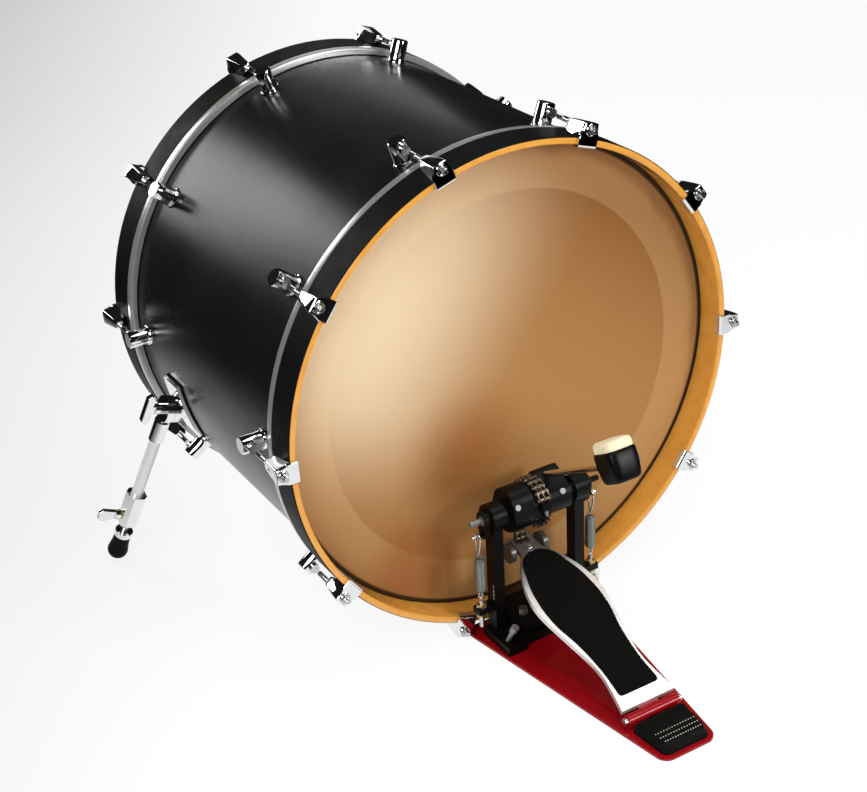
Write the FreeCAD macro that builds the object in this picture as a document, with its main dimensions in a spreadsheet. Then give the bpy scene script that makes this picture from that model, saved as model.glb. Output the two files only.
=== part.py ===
import FreeCAD, Part
import math
import os
from types import SimpleNamespace

import Sketcher

# A bass drum with its heads under tension, two fold-out spurs and a kick pedal clamped to the batter hoop.
# The drum axis runs along Y, the player sits on the -Y side, Z is up and the floor is at Z = 0.

Vector = FreeCAD.Vector
doc = FreeCAD.newDocument("BassDrum")

# Driving dimensions, in millimetres, degrees and counts

SIZES = {
    # Shell, heads and hoops
    "shell_radius": 279.4,
    "shell_wall": 7.5,
    "shell_length": 406.4,
    "film_gauge": 0.5,
    "film_set": 34.0,
    "collar_depth": 15.0,
    "collar_bend": 0.3,
    "ring_edge_gap": 9.4,
    "ring_width": 46.0,
    "ring_gauge": 0.4,
    "hoop_stand_off": 9.6,
    "hoop_wall": 8.0,
    "hoop_depth": 40.0,
    "hoop_edge": 1.4,
    "hoop_lift": 8.7,
    "flesh_hoop_width": 12.0,
    "flesh_hoop_inset": 0.5,
    "seat_gap": 0.05,
    "loose_gap": 0.3,
    "overrun": 5.0,
    # Claws, tension rods and lugs
    "lug_count": 10,
    "claw_width": 25.0,
    "claw_crest_width": 13.0,
    "claw_neck_width": 17.0,
    "claw_tail_width": 11.0,
    "claw_flange": 1.5,
    "claw_neck_set": 13.0,
    "claw_tail_round": 1.5,
    "claw_plate": 4.0,
    "claw_lip_gauge": 2.6,
    "claw_lip_length": 5.0,
    "claw_lip_gap": 0.7,
    "claw_height": 17.0,
    "claw_shoulder": 3.0,
    "claw_tail_height": 13.5,
    "claw_length": 33.0,
    "claw_slope": 7.0,
    "claw_cup_radius": 7.0,
    "claw_cup_rise": 2.0,
    "rod_offset": 9.5,
    "rod_radius": 3.2,
    "rod_flange_radius": 5.8,
    "rod_flange_rise": 1.6,
    "rod_key_width": 6.4,
    "rod_key_length": 7.0,
    "lug_set": 81.0,
    "lug_radius": 9.3,
    "lug_crown": 8.9,
    "lug_foot_radius": 12.5,
    "lug_foot_rise": 5.0,
    "lug_flat": 7.5,
    "nut_radius": 5.4,
    "nut_length": 8.0,
    # Spurs
    "spur_bearing": 194.0,
    "spur_far_set": 139.4,
    "spur_stand_off": 21.5,
    "spur_splay": 17.6,
    "spur_rake": 17.0,
    "bracket_span": 15.4,
    "bracket_bearing": 195.8,
    "bracket_width": 38.0,
    "bracket_gauge": 4.5,
    "bracket_neck_radius": 12.0,
    "gasket_gauge": 2.0,
    "gasket_margin": 1.5,
    "knuckle_radius": 16.5,
    "knuckle_width": 10.0,
    "ratchet_width": 7.0,
    "socket_radius": 9.6,
    "socket_start": 18.0,
    "socket_end": 48.0,
    "tube_radius": 7.3,
    "tube_bore": 4.8,
    "tube_start": 22.0,
    "leg_rod_radius": 4.3,
    "leg_rod_start": 62.0,
    "leg_rod_fit": 0.08,
    "block_rise": 107.5,
    "block_length": 48.0,
    "block_width": 23.0,
    "block_corner": 5.0,
    "block_lap": 14.0,
    "wing_shank_radius": 3.5,
    "wing_shank_fit": 0.06,
    "wing_depth": 12.0,
    "wing_hub_radius": 6.5,
    "wing_hub_length": 11.0,
    "wing_height": 43.0,
    "wing_width": 13.0,
    "wing_gauge": 9.0,
    "wing_corner": 4.0,
    "wing_neck": 3.0,
    "wing_edge": 1.5,
    "washer_radius": 6.2,
    "washer_gauge": 3.0,
    "clamp_screw_set": 34.0,
    "clamp_screw_stand": 6.0,
    "tee_width": 22.0,
    "tee_height": 18.0,
    "tee_gauge": 6.0,
    "foot_round": 13.0,
    "foot_length": 38.0,
    "foot_top_radius": 10.5,
    "foot_grip": 16.0,
    "foot_round_wide": 58.0,
    "foot_round_end": 8.0,
    "foot_cup_radius": 11.4,
    "foot_cup_length": 7.0,
    # Pedal frame
    "plate_gauge": 3.0,
    "plate_front_half": 84.0,
    "plate_heel_half": 35.0,
    "plate_front_reach": 14.0,
    "plate_heel_reach": 302.0,
    "plate_heel_round": 14.0,
    "rib_width": 13.0,
    "rib_rise": 1.5,
    "rib_front_half": 58.0,
    "rib_heel_half": 28.0,
    "rib_front_set": 72.0,
    "rib_heel_set": 216.0,
    "hinge_set": 235.4,
    "hinge_height": 10.6,
    "barrel_radius": 6.6,
    "barrel_half": 34.0,
    "barrel_middle_half": 13.0,
    "pin_radius": 2.6,
    "pin_fit": 0.08,
    "pin_head_radius": 4.4,
    "pin_head_length": 4.0,
    "heel_pad_front_set": 246.0,
    "heel_pad_back_set": 297.0,
    "heel_pad_front_half": 34.0,
    "heel_pad_back_half": 30.0,
    "heel_pad_height": 13.0,
    "heel_groove_width": 3.6,
    "heel_groove_depth": 2.0,
    "heel_groove_count": 5,
    "axle_set": 18.4,
    "axle_height": 166.0,
    "post_set": 56.0,
    "post_width": 13.0,
    "post_depth": 17.0,
    "post_head_radius": 17.0,
    "post_head_width": 18.0,
    "post_foot_back": 62.0,
    "post_foot_front": 8.0,
    "post_foot_width": 26.0,
    "post_foot_height": 11.0,
    "arm_height": 44.0,
    "arm_depth": 13.0,
    "arm_gauge": 8.0,
    "arm_end": 84.0,
    "bridge_back": 54.0,
    "bridge_height": 13.0,
    "bridge_lip_reach": 12.0,
    "jaw_reach": 24.0,
    "jaw_lip": 6.0,
    "jaw_rise": 17.0,
    "jaw_tail": 50.0,
    "jaw_heel": 20.0,
    "jaw_margin": 1.0,
    "clamp_bolt_across": 34.0,
    "clamp_bolt_set": 40.0,
    "clamp_bolt_radius": 3.6,
    "clamp_bolt_depth": 6.0,
    "clamp_bolt_head_radius": 5.6,
    "clamp_bolt_head_rise": 8.0,
    "thumb_screw_across": 61.0,
    "thumb_screw_set": 47.0,
    "thumb_screw_tilt": 21.0,
    "thumb_screw_turn": 14.0,
    "thumb_screw_radius": 2.8,
    "thumb_screw_depth": 8.0,
    "thumb_screw_rise": 16.0,
    "thumb_screw_fit": 0.06,
    "thumb_head_radius": 4.6,
    "thumb_head_length": 8.0,
    # Axle, hubs, chain and beater
    "axle_corner_radius": 6.4,
    "axle_half": 88.0,
    "axle_fit": 0.05,
    "bearing_radius": 11.0,
    "bearing_bore": 6.5,
    "bearing_width": 9.0,
    "chain_pitch": 8.0,
    "tooth_count": 22,
    "wrap_links": 9,
    "drop_links": 9,
    "chain_across": -3.0,
    "chain_row": 3.4,
    "chain_plate": 1.5,
    "chain_plate_depth": 6.4,
    "chain_pin_radius": 2.0,
    "tooth_gauge": 2.2,
    "tooth_rise": 2.0,
    "tooth_gap": 0.4,
    "anchor_turn": 75.0,
    "anchor_width": 11.0,
    "anchor_length": 9.0,
    "anchor_rise": 4.0,
    "anchor_bolt_radius": 2.1,
    "anchor_bolt_length": 7.0,
    "rocker_inner": 15.0,
    "rocker_outer": 42.0,
    "rocker_radius": 24.0,
    "rocker_nose_radius": 21.0,
    "rocker_reach": 9.0,
    "hub_inner": 6.0,
    "hub_outer": 38.0,
    "hub_radius": 20.0,
    "hub_clamp_radius": 8.5,
    "beater_lean": 60.0,
    "beater_across": 18.0,
    "beater_offset": 25.0,
    "beater_reach": 167.0,
    "shaft_radius": 4.0,
    "shaft_tail": 24.0,
    "shaft_tip": 14.0,
    "shaft_fit": 0.06,
    "head_rear_width": 33.0,
    "head_front": 17.0,
    "head_back": 18.0,
    "head_taper": 4.0,
    "head_corner": 7.0,
    "head_rear_round": 5.0,
    "head_front_round": 1.5,
    "felt_width": 36.0,
    "felt_depth": 11.0,
    "felt_corner": 6.5,
    "felt_edge": 4.0,
    "rocker_screw_across": 37.0,
    "hub_screw_across": 26.0,
    "set_screw_rise": 35.0,
    "set_screw_radius": 3.4,
    "set_screw_depth": 6.0,
    "set_screw_proud": 3.0,
    "crank_inner": 66.0,
    "crank_outer": 72.0,
    "crank_radius": 11.0,
    "crank_tip_radius": 6.0,
    "crank_reach": 18.0,
    "crank_pin_radius": 2.4,
    "crank_pin_length": 11.0,
    # Springs
    "spring_across": 77.0,
    "spring_radius": 4.6,
    "spring_wire": 1.9,
    "spring_turns": 10,
    "spring_bend": 2.4,
    "link_gauge": 2.4,
    "link_band": 2.2,
    "link_gap": 0.2,
    "link_tip_radius": 3.4,
    "link_reach": 25.0,
    "cap_radius": 6.6,
    "cap_rise": 2.5,
    "tension_screw_radius": 3.0,
    "tension_screw_drop": 20.0,
    "tension_screw_rise": 16.0,
    "tension_nut_radius": 6.4,
    "tension_nut_rise": 4.0,
    # Footboard
    "board_gauge": 6.0,
    "board_lift": 1.5,
    "board_heel": 9.0,
    "board_half": 44.5,
    "board_neck": 20.0,
    "board_toe_half": 13.0,
    "board_toe": 6.0,
    "pad_gauge": 2.0,
    "pad_sunk": 1.4,
    "pad_heel": 26.0,
    "pad_toe": 24.0,
    "toe_slot_half": 9.2,
    "toe_slot": 6.0,
    "toe_ear": 5.0,
    "toe_ear_depth": 6.0,
    "toe_disc_set": 9.5,
    "toe_disc_radius": 12.0,
    "toe_disc_inner": 19.5,
    "toe_disc_gauge": 6.0,
    "toe_pin_radius": 2.0,
    "leaf_length": 34.0,
    "leaf_gauge": 2.5,
}

# Half widths of the footboard and of its pad, as shares of the way along each and of the widest half
BOARD_WAY_SHARES = (0, 0.08, 0.24, 0.40, 0.54, 0.66, 0.78, 0.90, 1)
BOARD_WIDTH_SHARES = (0.80, 0.72, 0.63, 0.76, 0.91, 1, 0.93, 0.69, 0.35)
PAD_WAY_SHARES = (0, 0.18, 0.37, 0.53, 0.70, 0.86, 1)
PAD_WIDTH_SHARES = (0.58, 0.56, 0.65, 0.81, 0.82, 0.66, 0.30)

# Corners of a chain plate's end, as shares of its half depth
PLATE_CORNER_SHARES = ((0, -1), (0.7, -0.7), (0.7, 0.7), (0, 1))


class Size:
    """A value of the sheet, or a sum made of such values: its number, and the formula that gives it."""

    def __init__(self, number, formula):
        self.number = number
        self.formula = formula

    def __add__(self, other):
        return Size(self.number + number_of(other), f"({self.formula} + {formula_of(other)})")

    def __sub__(self, other):
        return Size(self.number - number_of(other), f"({self.formula} - {formula_of(other)})")

    def __rsub__(self, other):
        return Size(number_of(other) - self.number, f"({formula_of(other)} - {self.formula})")

    def __mul__(self, other):
        return Size(self.number * number_of(other), f"({self.formula} * {formula_of(other)})")

    def __truediv__(self, other):
        return Size(self.number / number_of(other), f"({self.formula} / {formula_of(other)})")

    def __rtruediv__(self, other):
        return Size(number_of(other) / self.number, f"({formula_of(other)} / {self.formula})")

    def __neg__(self):
        return Size(-self.number, f"(-{self.formula})")

    __radd__ = __add__
    __rmul__ = __mul__


def number_of(value):
    return value.number if isinstance(value, Size) else value


def formula_of(value):
    return value.formula if isinstance(value, Size) else repr(value)


def sine(angle):
    return Size(math.sin(math.radians(number_of(angle))), f"sin({formula_of(angle)})")


def cosine(angle):
    return Size(math.cos(math.radians(number_of(angle))), f"cos({formula_of(angle)})")


def slope(rise, run):
    number = math.degrees(math.atan2(number_of(rise), number_of(run)))
    return Size(number, f"atan({formula_of(rise)} / {formula_of(run)})")


def hypotenuse(rise, run):
    number = math.hypot(number_of(rise), number_of(run))
    return Size(number, f"sqrt({formula_of(rise)} ^ 2 + {formula_of(run)} ^ 2)")


def leg_of(long, short):
    """The other short side of a right triangle."""
    number = math.sqrt(number_of(long) ** 2 - number_of(short) ** 2)
    return Size(number, f"sqrt({formula_of(long)} ^ 2 - {formula_of(short)} ^ 2)")


sheet = doc.addObject("Spreadsheet::Sheet", "Sizes")
for row, (name, number) in enumerate(SIZES.items(), start=1):
    sheet.set(f"A{row}", name)
    sheet.set(f"B{row}", str(number))
    sheet.setAlias(f"B{row}", name)
doc.recompute()
dim = SimpleNamespace(**{name: Size(number, f"Sizes.{name}") for name, number in SIZES.items()})

# Sizes that follow from the driving ones
film_back = dim.film_set + dim.film_gauge
drum_length = 2 * film_back + dim.shell_length
hoop_radius = dim.shell_radius + dim.hoop_stand_off
axis_height = hoop_radius + dim.hoop_lift
hoop_inner = hoop_radius - dim.hoop_wall
rod_radius_from_axis = hoop_radius + dim.rod_offset
rod_front = dim.claw_plate + dim.claw_cup_rise + dim.rod_flange_rise + dim.rod_key_length
front_y = (dim.plate_heel_reach - drum_length - rod_front) / 2
pitch_radius = dim.chain_pitch / (2 * sine(180 / dim.tooth_count))
toe_height = dim.axle_height - dim.drop_links * dim.chain_pitch
board_run = dim.hinge_set - dim.axle_set + pitch_radius
board_rise = toe_height - dim.hinge_height
board_slope = slope(board_rise, board_run)
board_reach = hypotenuse(board_rise, board_run)
knuckle_from_axis = dim.shell_radius + dim.spur_stand_off
knuckle_height = axis_height + knuckle_from_axis * sine(dim.spur_bearing)
leg_fall = cosine(dim.spur_splay) * cosine(dim.spur_rake)
leg_length = dim.foot_round + (knuckle_height - dim.foot_round) / leg_fall
block_start = leg_length - dim.block_rise

TURN_TO = {"x": (("y", 90),), "y": (("x", -90),), "z": ()}
AXES = {"x": "vector(1; 0; 0)", "y": "vector(0; 1; 0)", "z": "vector(0; 0; 1)"}
nodes = []


def placing(home, base, turns):
    """The formula that sets a piece at a base point, turned in order, inside a frame."""
    turned = " * ".join(f"rotation({AXES[axis]}; {formula_of(angle)})" for axis, angle in turns)
    point = "; ".join(formula_of(value) for value in base)
    own = f"placement(vector({point}); {turned or 'rotation(vector(0; 0; 1); 0)'})"
    return f"{home.Name}.Placement * {own}" if home else own


def put(piece, home, base=(0, 0, 0), turns=()):
    piece.setExpression("Placement", placing(home, base, turns))
    return piece


def frame(name, home=None, base=(0, 0, 0), turns=()):
    """A named place and direction that pieces are set from."""
    return put(doc.addObject("App::Placement", name), home, base, turns)


def bind(piece, **sizes):
    for name, value in sizes.items():
        piece.setExpression(name, formula_of(value))
    return piece


def keep(piece, label):
    """Makes a piece a sub-part under its own label."""
    piece.Label = label
    nodes.append(piece)
    return piece


# Sketches and features of a body


def new_body(name, home, base=(0, 0, 0), turns=()):
    return put(doc.addObject("PartDesign::Body", name), home, base, turns)


def origin_of(body, role):
    return next(part for part in body.Origin.OriginFeatures if part.Role == role)


def new_sketch(body, plane):
    drawing = body.newObject("Sketcher::SketchObject", "Sketch")
    drawing.AttachmentSupport = [(origin_of(body, plane), "")]
    drawing.MapMode = "FlatFace"
    return drawing


def hold(drawing, geometry, point, across, along):
    """Holds a sketch point at its two distances from the origin."""
    for kind, value, axis in (("DistanceX", across, -2), ("DistanceY", along, -1)):
        if isinstance(value, Size):
            index = drawing.addConstraint(Sketcher.Constraint(kind, -1, 1, geometry, point, value.number))
            drawing.setExpression(f"Constraints[{index}]", value.formula)
        else:
            drawing.addConstraint(Sketcher.Constraint("PointOnObject", geometry, point, axis))


def polygon(body, plane, points):
    """A closed sketch of straight edges."""
    drawing = new_sketch(body, plane)
    corners = [Vector(number_of(across), number_of(along), 0) for across, along in points]
    following = corners[1:] + corners[:1]
    for start, end in zip(corners, following):
        drawing.addGeometry(Part.LineSegment(start, end), False)
    for index, (across, along) in enumerate(points):
        drawing.addConstraint(Sketcher.Constraint("Coincident", index, 2, (index + 1) % len(points), 1))
        hold(drawing, index, 1, across, along)
    return drawing


def circle(body, plane, centre, radius):
    drawing = new_sketch(body, plane)
    middle = Vector(number_of(centre[0]), number_of(centre[1]), 0)
    drawing.addGeometry(Part.Circle(middle, Vector(0, 0, 1), radius.number), False)
    hold(drawing, 0, 3, *centre)
    index = drawing.addConstraint(Sketcher.Constraint("Radius", 0, radius.number))
    drawing.setExpression(f"Constraints[{index}]", radius.formula)
    return drawing


def teardrop(body, plane, big, small, reach):
    """A sketch of two round ends joined by tangent lines, the small end below the big one."""
    drawing = new_sketch(body, plane)
    lean = math.asin((big.number - small.number) / reach.number)
    low = Vector(0, -reach.number, 0)
    up = Vector(0, 0, 1)
    big_arc = Part.ArcOfCircle(Part.Circle(Vector(), up, big.number), -lean, math.pi + lean)
    small_arc = Part.ArcOfCircle(Part.Circle(low, up, small.number), math.pi + lean, 2 * math.pi - lean)
    left = Part.LineSegment(big_arc.EndPoint, small_arc.StartPoint)
    right = Part.LineSegment(small_arc.EndPoint, big_arc.StartPoint)
    for piece in (big_arc, left, small_arc, right):
        drawing.addGeometry(piece, False)
    for index in range(4):
        drawing.addConstraint(Sketcher.Constraint("Tangent", index, 2, (index + 1) % 4, 1))
    hold(drawing, 0, 3, 0, 0)
    hold(drawing, 2, 3, 0, -reach)
    for index, radius in ((0, big), (2, small)):
        number = drawing.addConstraint(Sketcher.Constraint("Radius", index, radius.number))
        drawing.setExpression(f"Constraints[{number}]", radius.formula)
    return drawing


def pad(body, drawing, length, side="One side", back=False):
    feature = body.newObject("PartDesign::Pad", "Pad")
    feature.Profile = drawing
    feature.SideType = side
    feature.Reversed = back
    return bind(feature, Length=length)


def pocket(body, drawing, side="Symmetric", length=None, back=False):
    """A cut that has to take material away: right through the body, or to a depth."""
    doc.recompute()
    before = body.Shape.Volume
    feature = body.newObject("PartDesign::Pocket", "Pocket")
    feature.Profile = drawing
    feature.SideType = side
    feature.Reversed = back
    if length is None:
        feature.Type = "ThroughAll"
    else:
        bind(feature, Length=length)
    doc.recompute()
    if body.Shape.Volume >= before:
        raise RuntimeError(f"the cut in {body.Name} takes nothing away")
    return feature


def revolve(body, drawing, axis):
    feature = body.newObject("PartDesign::Revolution", "Revolution")
    feature.Profile = drawing
    feature.ReferenceAxis = (origin_of(body, axis), [""])
    feature.Angle = 360
    return feature


def ring_of(body, axis, count):
    """Repeats a whole body round an axis of its own frame, as separate solids."""
    doc.recompute()
    feature = body.newObject("PartDesign::PolarPattern", "Pattern")
    feature.TransformMode = "Whole shape"
    feature.Axis = (origin_of(body, axis), [""])
    feature.Angle = 360
    bind(feature, Occurrences=count)
    body.Tip = feature
    return body


def round_edges(body, feature, radius, wanted):
    """Rounds the edges of a feature that pass a test."""
    doc.recompute()
    names = [f"Edge{index}" for index, edge in enumerate(feature.Shape.Edges, 1) if wanted(edge)]
    rounded = body.newObject("PartDesign::Fillet", "Fillet")
    rounded.Base = (feature, names)
    return bind(rounded, Radius=radius)


def upright(edge):
    return abs(edge.tangentAt(edge.FirstParameter).z) > 1 - 1e-6


# Primitives and booleans


def cylinder(name, home, base, axis, radius, length):
    piece = bind(doc.addObject("Part::Cylinder", name), Radius=radius, Height=length)
    return put(piece, home, base, TURN_TO[axis])


def hexagon(name, home, base, axis, radius, length):
    piece = doc.addObject("Part::Prism", name)
    piece.Polygon = 6
    bind(piece, Circumradius=radius, Height=length)
    return put(piece, home, base, TURN_TO[axis])


def block(name, home, base, size):
    length, width, height = size
    return put(bind(doc.addObject("Part::Box", name), Length=length, Width=width, Height=height), home, base)


def sector(name, home, turns, base_y, radius, angle, length):
    """A slice of a round bar that lies along the frame's Y axis and is centred on its X axis."""
    piece = bind(doc.addObject("Part::Cylinder", name), Radius=radius, Angle=angle, Height=length)
    return put(piece, home, (0, base_y, 0), tuple(turns) + (("y", -angle / 2), ("x", -90)))


def fuse(name, *pieces):
    joined = doc.addObject("Part::MultiFuse", name)
    joined.Shapes = list(pieces)
    joined.Refine = True
    return joined


def cut(name, piece, *tools):
    for tool in tools:
        taken = doc.addObject("Part::Cut", name)
        taken.Base = piece
        taken.Tool = tool
        taken.Refine = True
        piece = taken
    return piece


def group(name, *pieces):
    """Several solids that stay apart, kept as one sub-part."""
    together = doc.addObject("Part::Compound", name)
    together.Links = list(pieces)
    return together


def mirror(name, piece, normal, across=None):
    """A mirrored copy, across the middle of the drum's length or across its upright middle plane."""
    copy = doc.addObject("Part::Mirroring", name)
    copy.Source = piece
    copy.Normal = normal
    if across is not None:
        copy.setExpression("Base.y", formula_of(across))
    return copy


ALONG, SIDEWAYS = (0, 1, 0), (1, 0, 0)
middle_y = front_y + drum_length / 2

# Shell: a wooden tube whose two ends are cut to bearing edges at 45 degrees
drum = frame("DrumFrame", None, (0, front_y, axis_height))
shell = new_body("Shell", drum)
shell_end = drum_length - film_back
shell_inner = dim.shell_radius - dim.shell_wall
shell_section = (
    (shell_inner, film_back + dim.shell_wall),
    (dim.shell_radius, film_back),
    (dim.shell_radius, shell_end),
    (shell_inner, shell_end - dim.shell_wall),
)
revolve(shell, polygon(shell, "XY_Plane", shell_section), "Y_Axis")
keep(shell, "shell")

# Batter head: film with its collar, a thin damping ring behind it and the aluminium flesh hoop
film = new_body("BatterFilm", drum)
collar_inner = dim.shell_radius + dim.loose_gap
collar_outer = collar_inner + dim.film_gauge
collar_end = dim.film_set + dim.collar_depth
film_section = (
    (0, dim.film_set),
    (collar_outer - dim.collar_bend, dim.film_set),
    (collar_outer, dim.film_set + dim.collar_bend),
    (collar_outer, collar_end),
    (collar_inner, collar_end),
    (collar_inner, film_back),
    (0, film_back),
)
revolve(film, polygon(film, "XY_Plane", film_section), "Y_Axis")
keep(film, "batter_film")

ring = new_body("DampingRing", drum)
ring_outer = dim.shell_radius - dim.ring_edge_gap
ring_inner = ring_outer - dim.ring_width
ring_section = (
    (ring_inner, film_back),
    (ring_outer, film_back),
    (ring_outer, film_back + dim.ring_gauge),
    (ring_inner, film_back + dim.ring_gauge),
)
revolve(ring, polygon(ring, "XY_Plane", ring_section), "Y_Axis")
keep(ring, "damping_ring")

flesh_hoop = new_body("BatterFleshHoop", drum)
flesh_inner = collar_outer + dim.seat_gap
flesh_outer = hoop_radius - dim.flesh_hoop_inset
flesh_end = dim.hoop_depth + dim.flesh_hoop_width
flesh_section = (
    (flesh_inner, dim.hoop_depth),
    (flesh_outer, dim.hoop_depth),
    (flesh_outer, flesh_end),
    (flesh_inner, flesh_end),
)
revolve(flesh_hoop, polygon(flesh_hoop, "XY_Plane", flesh_section), "Y_Axis")
keep(flesh_hoop, "batter_flesh_hoop")

# Batter hoop: the wooden hoop that presses the head down, with its front edge eased
hoop = new_body("BatterHoop", drum)
hoop_section = (
    (hoop_inner, dim.hoop_edge),
    (hoop_inner + dim.hoop_edge, 0),
    (hoop_radius - dim.hoop_edge, 0),
    (hoop_radius, dim.hoop_edge),
    (hoop_radius, dim.hoop_depth),
    (hoop_inner, dim.hoop_depth),
)
revolve(hoop, polygon(hoop, "XY_Plane", hoop_section), "Y_Axis")
keep(hoop, "batter_hoop")

# Resonant head and hoop: the same pieces at the far end
for piece, label in ((film, "reso_film"), (flesh_hoop, "reso_flesh_hoop"), (hoop, "reso_hoop")):
    keep(mirror(f"Far{piece.Name}", piece, ALONG, middle_y), label)

# Claws: cast hooks over both hoops, drawn in behind the plate towards the rod, with a cup for the rod's head
claw = new_body("Claw", drum)
claw_inner = hoop_inner - dim.claw_lip_gap
claw_top = hoop_radius + dim.claw_height
claw_tail = hoop_radius + dim.claw_tail_height
claw_side = (
    (claw_inner - dim.claw_lip_gauge, -dim.claw_plate),
    (claw_top, -dim.claw_plate),
    (claw_top, 0),
    (claw_tail, dim.claw_length - dim.claw_tail_round),
    (claw_tail - dim.claw_tail_round, dim.claw_length),
    (hoop_radius + dim.claw_slope / 2, dim.claw_length),
    (hoop_radius, dim.claw_length - dim.claw_slope),
    (hoop_radius, 0),
    (claw_inner, 0),
    (claw_inner, dim.claw_lip_length),
    (claw_inner - dim.claw_lip_gauge, dim.claw_lip_length),
)
pad(claw, polygon(claw, "XY_Plane", claw_side), dim.claw_width, "Symmetric")
for hand in (1, -1):
    waste = (
        (dim.claw_flange, hand * dim.claw_width),
        (dim.claw_flange, hand * dim.claw_width / 2),
        (dim.claw_neck_set, hand * dim.claw_neck_width / 2),
        (dim.claw_length, hand * dim.claw_tail_width / 2),
        (dim.claw_length + dim.overrun, hand * dim.claw_tail_width / 2),
        (dim.claw_length + dim.overrun, hand * dim.claw_width),
    )
    pocket(claw, polygon(claw, "YZ_Plane", waste))
    shoulder = (
        (hoop_radius + dim.claw_shoulder, hand * dim.claw_width / 2),
        (hoop_radius + dim.claw_shoulder, hand * dim.claw_width),
        (claw_top + dim.overrun, hand * dim.claw_width),
        (claw_top + dim.overrun, hand * dim.claw_crest_width / 2),
        (claw_top, hand * dim.claw_crest_width / 2),
    )
    pocket(claw, polygon(claw, "XZ_Plane", shoulder))
cup = circle(claw, "XZ_Plane", (rod_radius_from_axis, 0), dim.claw_cup_radius)
pad(claw, cup, dim.claw_plate + dim.claw_cup_rise)
rod_hole = circle(claw, "XZ_Plane", (rod_radius_from_axis, 0), dim.rod_radius + dim.seat_gap)
pocket(claw, rod_hole)
ring_of(claw, "Y_Axis", dim.lug_count)
keep(group("Claws", claw, mirror("FarClaws", claw, ALONG, middle_y)), "claws")

# Tension rods: a key head, a flange that bears on the claw's cup and a shank down into the lug's nut
rod = new_body("TensionRod", drum)
flange_front = -(dim.claw_plate + dim.claw_cup_rise + dim.rod_flange_rise)
key_half = dim.rod_key_width / 2
key_head = (
    (rod_radius_from_axis - key_half, -key_half),
    (rod_radius_from_axis + key_half, -key_half),
    (rod_radius_from_axis + key_half, key_half),
    (rod_radius_from_axis - key_half, key_half),
)
nut_front = dim.lug_set - dim.lug_flat - dim.nut_length
pad(rod, polygon(rod, "XZ_Plane", key_head), rod_front)
pad(rod, circle(rod, "XZ_Plane", (rod_radius_from_axis, 0), dim.rod_flange_radius), -flange_front)
waist = circle(rod, "XZ_Plane", (rod_radius_from_axis, 0), dim.rod_key_width)
pocket(rod, waist, "One side", dim.claw_plate + dim.claw_cup_rise, True)
pad(rod, circle(rod, "XZ_Plane", (rod_radius_from_axis, 0), dim.rod_radius), nut_front, back=True)
shank_front = circle(rod, "XZ_Plane", (rod_radius_from_axis, 0), dim.rod_radius)
pad(rod, shank_front, dim.claw_plate + dim.claw_cup_rise)
ring_of(rod, "Y_Axis", dim.lug_count)
keep(group("TensionRods", rod, mirror("FarTensionRods", rod, ALONG, middle_y)), "tension_rods")

# Lugs: turned posts on the shell, each with a flat for the nut
lug = new_body("Lug", drum, (0, dim.lug_set, 0))
lug_top = rod_radius_from_axis + dim.lug_crown
lug_section = (
    (dim.shell_radius, 0),
    (dim.shell_radius, dim.lug_foot_radius),
    (dim.shell_radius + dim.lug_foot_rise, dim.lug_radius),
    (lug_top, dim.lug_radius),
    (lug_top, 0),
)
revolve(lug, polygon(lug, "XY_Plane", lug_section), "X_Axis")
flat_low = rod_radius_from_axis - dim.nut_radius - dim.seat_gap
flat = (
    (flat_low, -dim.lug_flat),
    (flat_low, -dim.lug_radius - dim.overrun),
    (lug_top + dim.overrun, -dim.lug_radius - dim.overrun),
    (lug_top + dim.overrun, -dim.lug_flat),
)
pocket(lug, polygon(lug, "XY_Plane", flat))
ring_of(lug, "Y_Axis", dim.lug_count)
keep(group("Lugs", lug, mirror("FarLugs", lug, ALONG, middle_y)), "lugs")

# Lug nuts: sleeves seated on the lugs' flats, one for each rod
nut = new_body("LugNut", drum, (0, nut_front, 0))
pad(nut, circle(nut, "XZ_Plane", (rod_radius_from_axis, 0), dim.nut_radius), dim.nut_length, back=True)
ring_of(nut, "Y_Axis", dim.lug_count)
keep(group("LugNuts", nut, mirror("FarLugNuts", nut, ALONG, middle_y)), "lug_nuts")

# Spurs: drawn on the left, in a frame whose X is the fold axis and whose Z runs down the leg
spur_y = drum_length - dim.spur_far_set
spur_base = (
    knuckle_from_axis * cosine(dim.spur_bearing),
    spur_y,
    knuckle_from_axis * sine(dim.spur_bearing),
)
spur = frame("SpurFrame", drum, spur_base, (("y", 180 + dim.spur_splay), ("x", -dim.spur_rake)))
knuckle_half = dim.knuckle_width / 2
ratchet_face = -knuckle_half - dim.loose_gap
ratchet_back = ratchet_face - dim.ratchet_width
shank_hole_radius = dim.wing_shank_radius + dim.wing_shank_fit
shank_hole_length = dim.wing_depth + dim.loose_gap + dim.knuckle_width + dim.overrun
shank_hole = cylinder(
    "ShankHole", spur, (ratchet_face - dim.wing_depth, 0, 0), "x", shank_hole_radius, shank_hole_length
)

# Spur brackets and gaskets: a curved plate with the fixed half of the knuckle, on a thin rubber sheet
bracket_low = dim.shell_radius + dim.gasket_gauge
bracket_high = bracket_low + dim.bracket_gauge
bracket_y = spur_y - dim.bracket_width / 2
outward = (("y", -dim.bracket_bearing),)
saddle = sector("Saddle", drum, outward, bracket_y, bracket_high, dim.bracket_span, dim.bracket_width)
ratchet = cylinder("Ratchet", spur, (ratchet_back, 0, 0), "x", dim.knuckle_radius, dim.ratchet_width)
neck_base = (ratchet_back - dim.spur_stand_off, 0, 0)
neck = cylinder("BracketNeck", spur, neck_base, "x", dim.bracket_neck_radius, dim.spur_stand_off)
seat_length = dim.bracket_width + 2 * dim.overrun
seat = cylinder("BracketSeat", drum, (0, bracket_y - dim.overrun, 0), "y", bracket_low, seat_length)
bracket = cut("Bracket", fuse("BracketWhole", saddle, ratchet, neck), seat, shank_hole)
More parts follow.
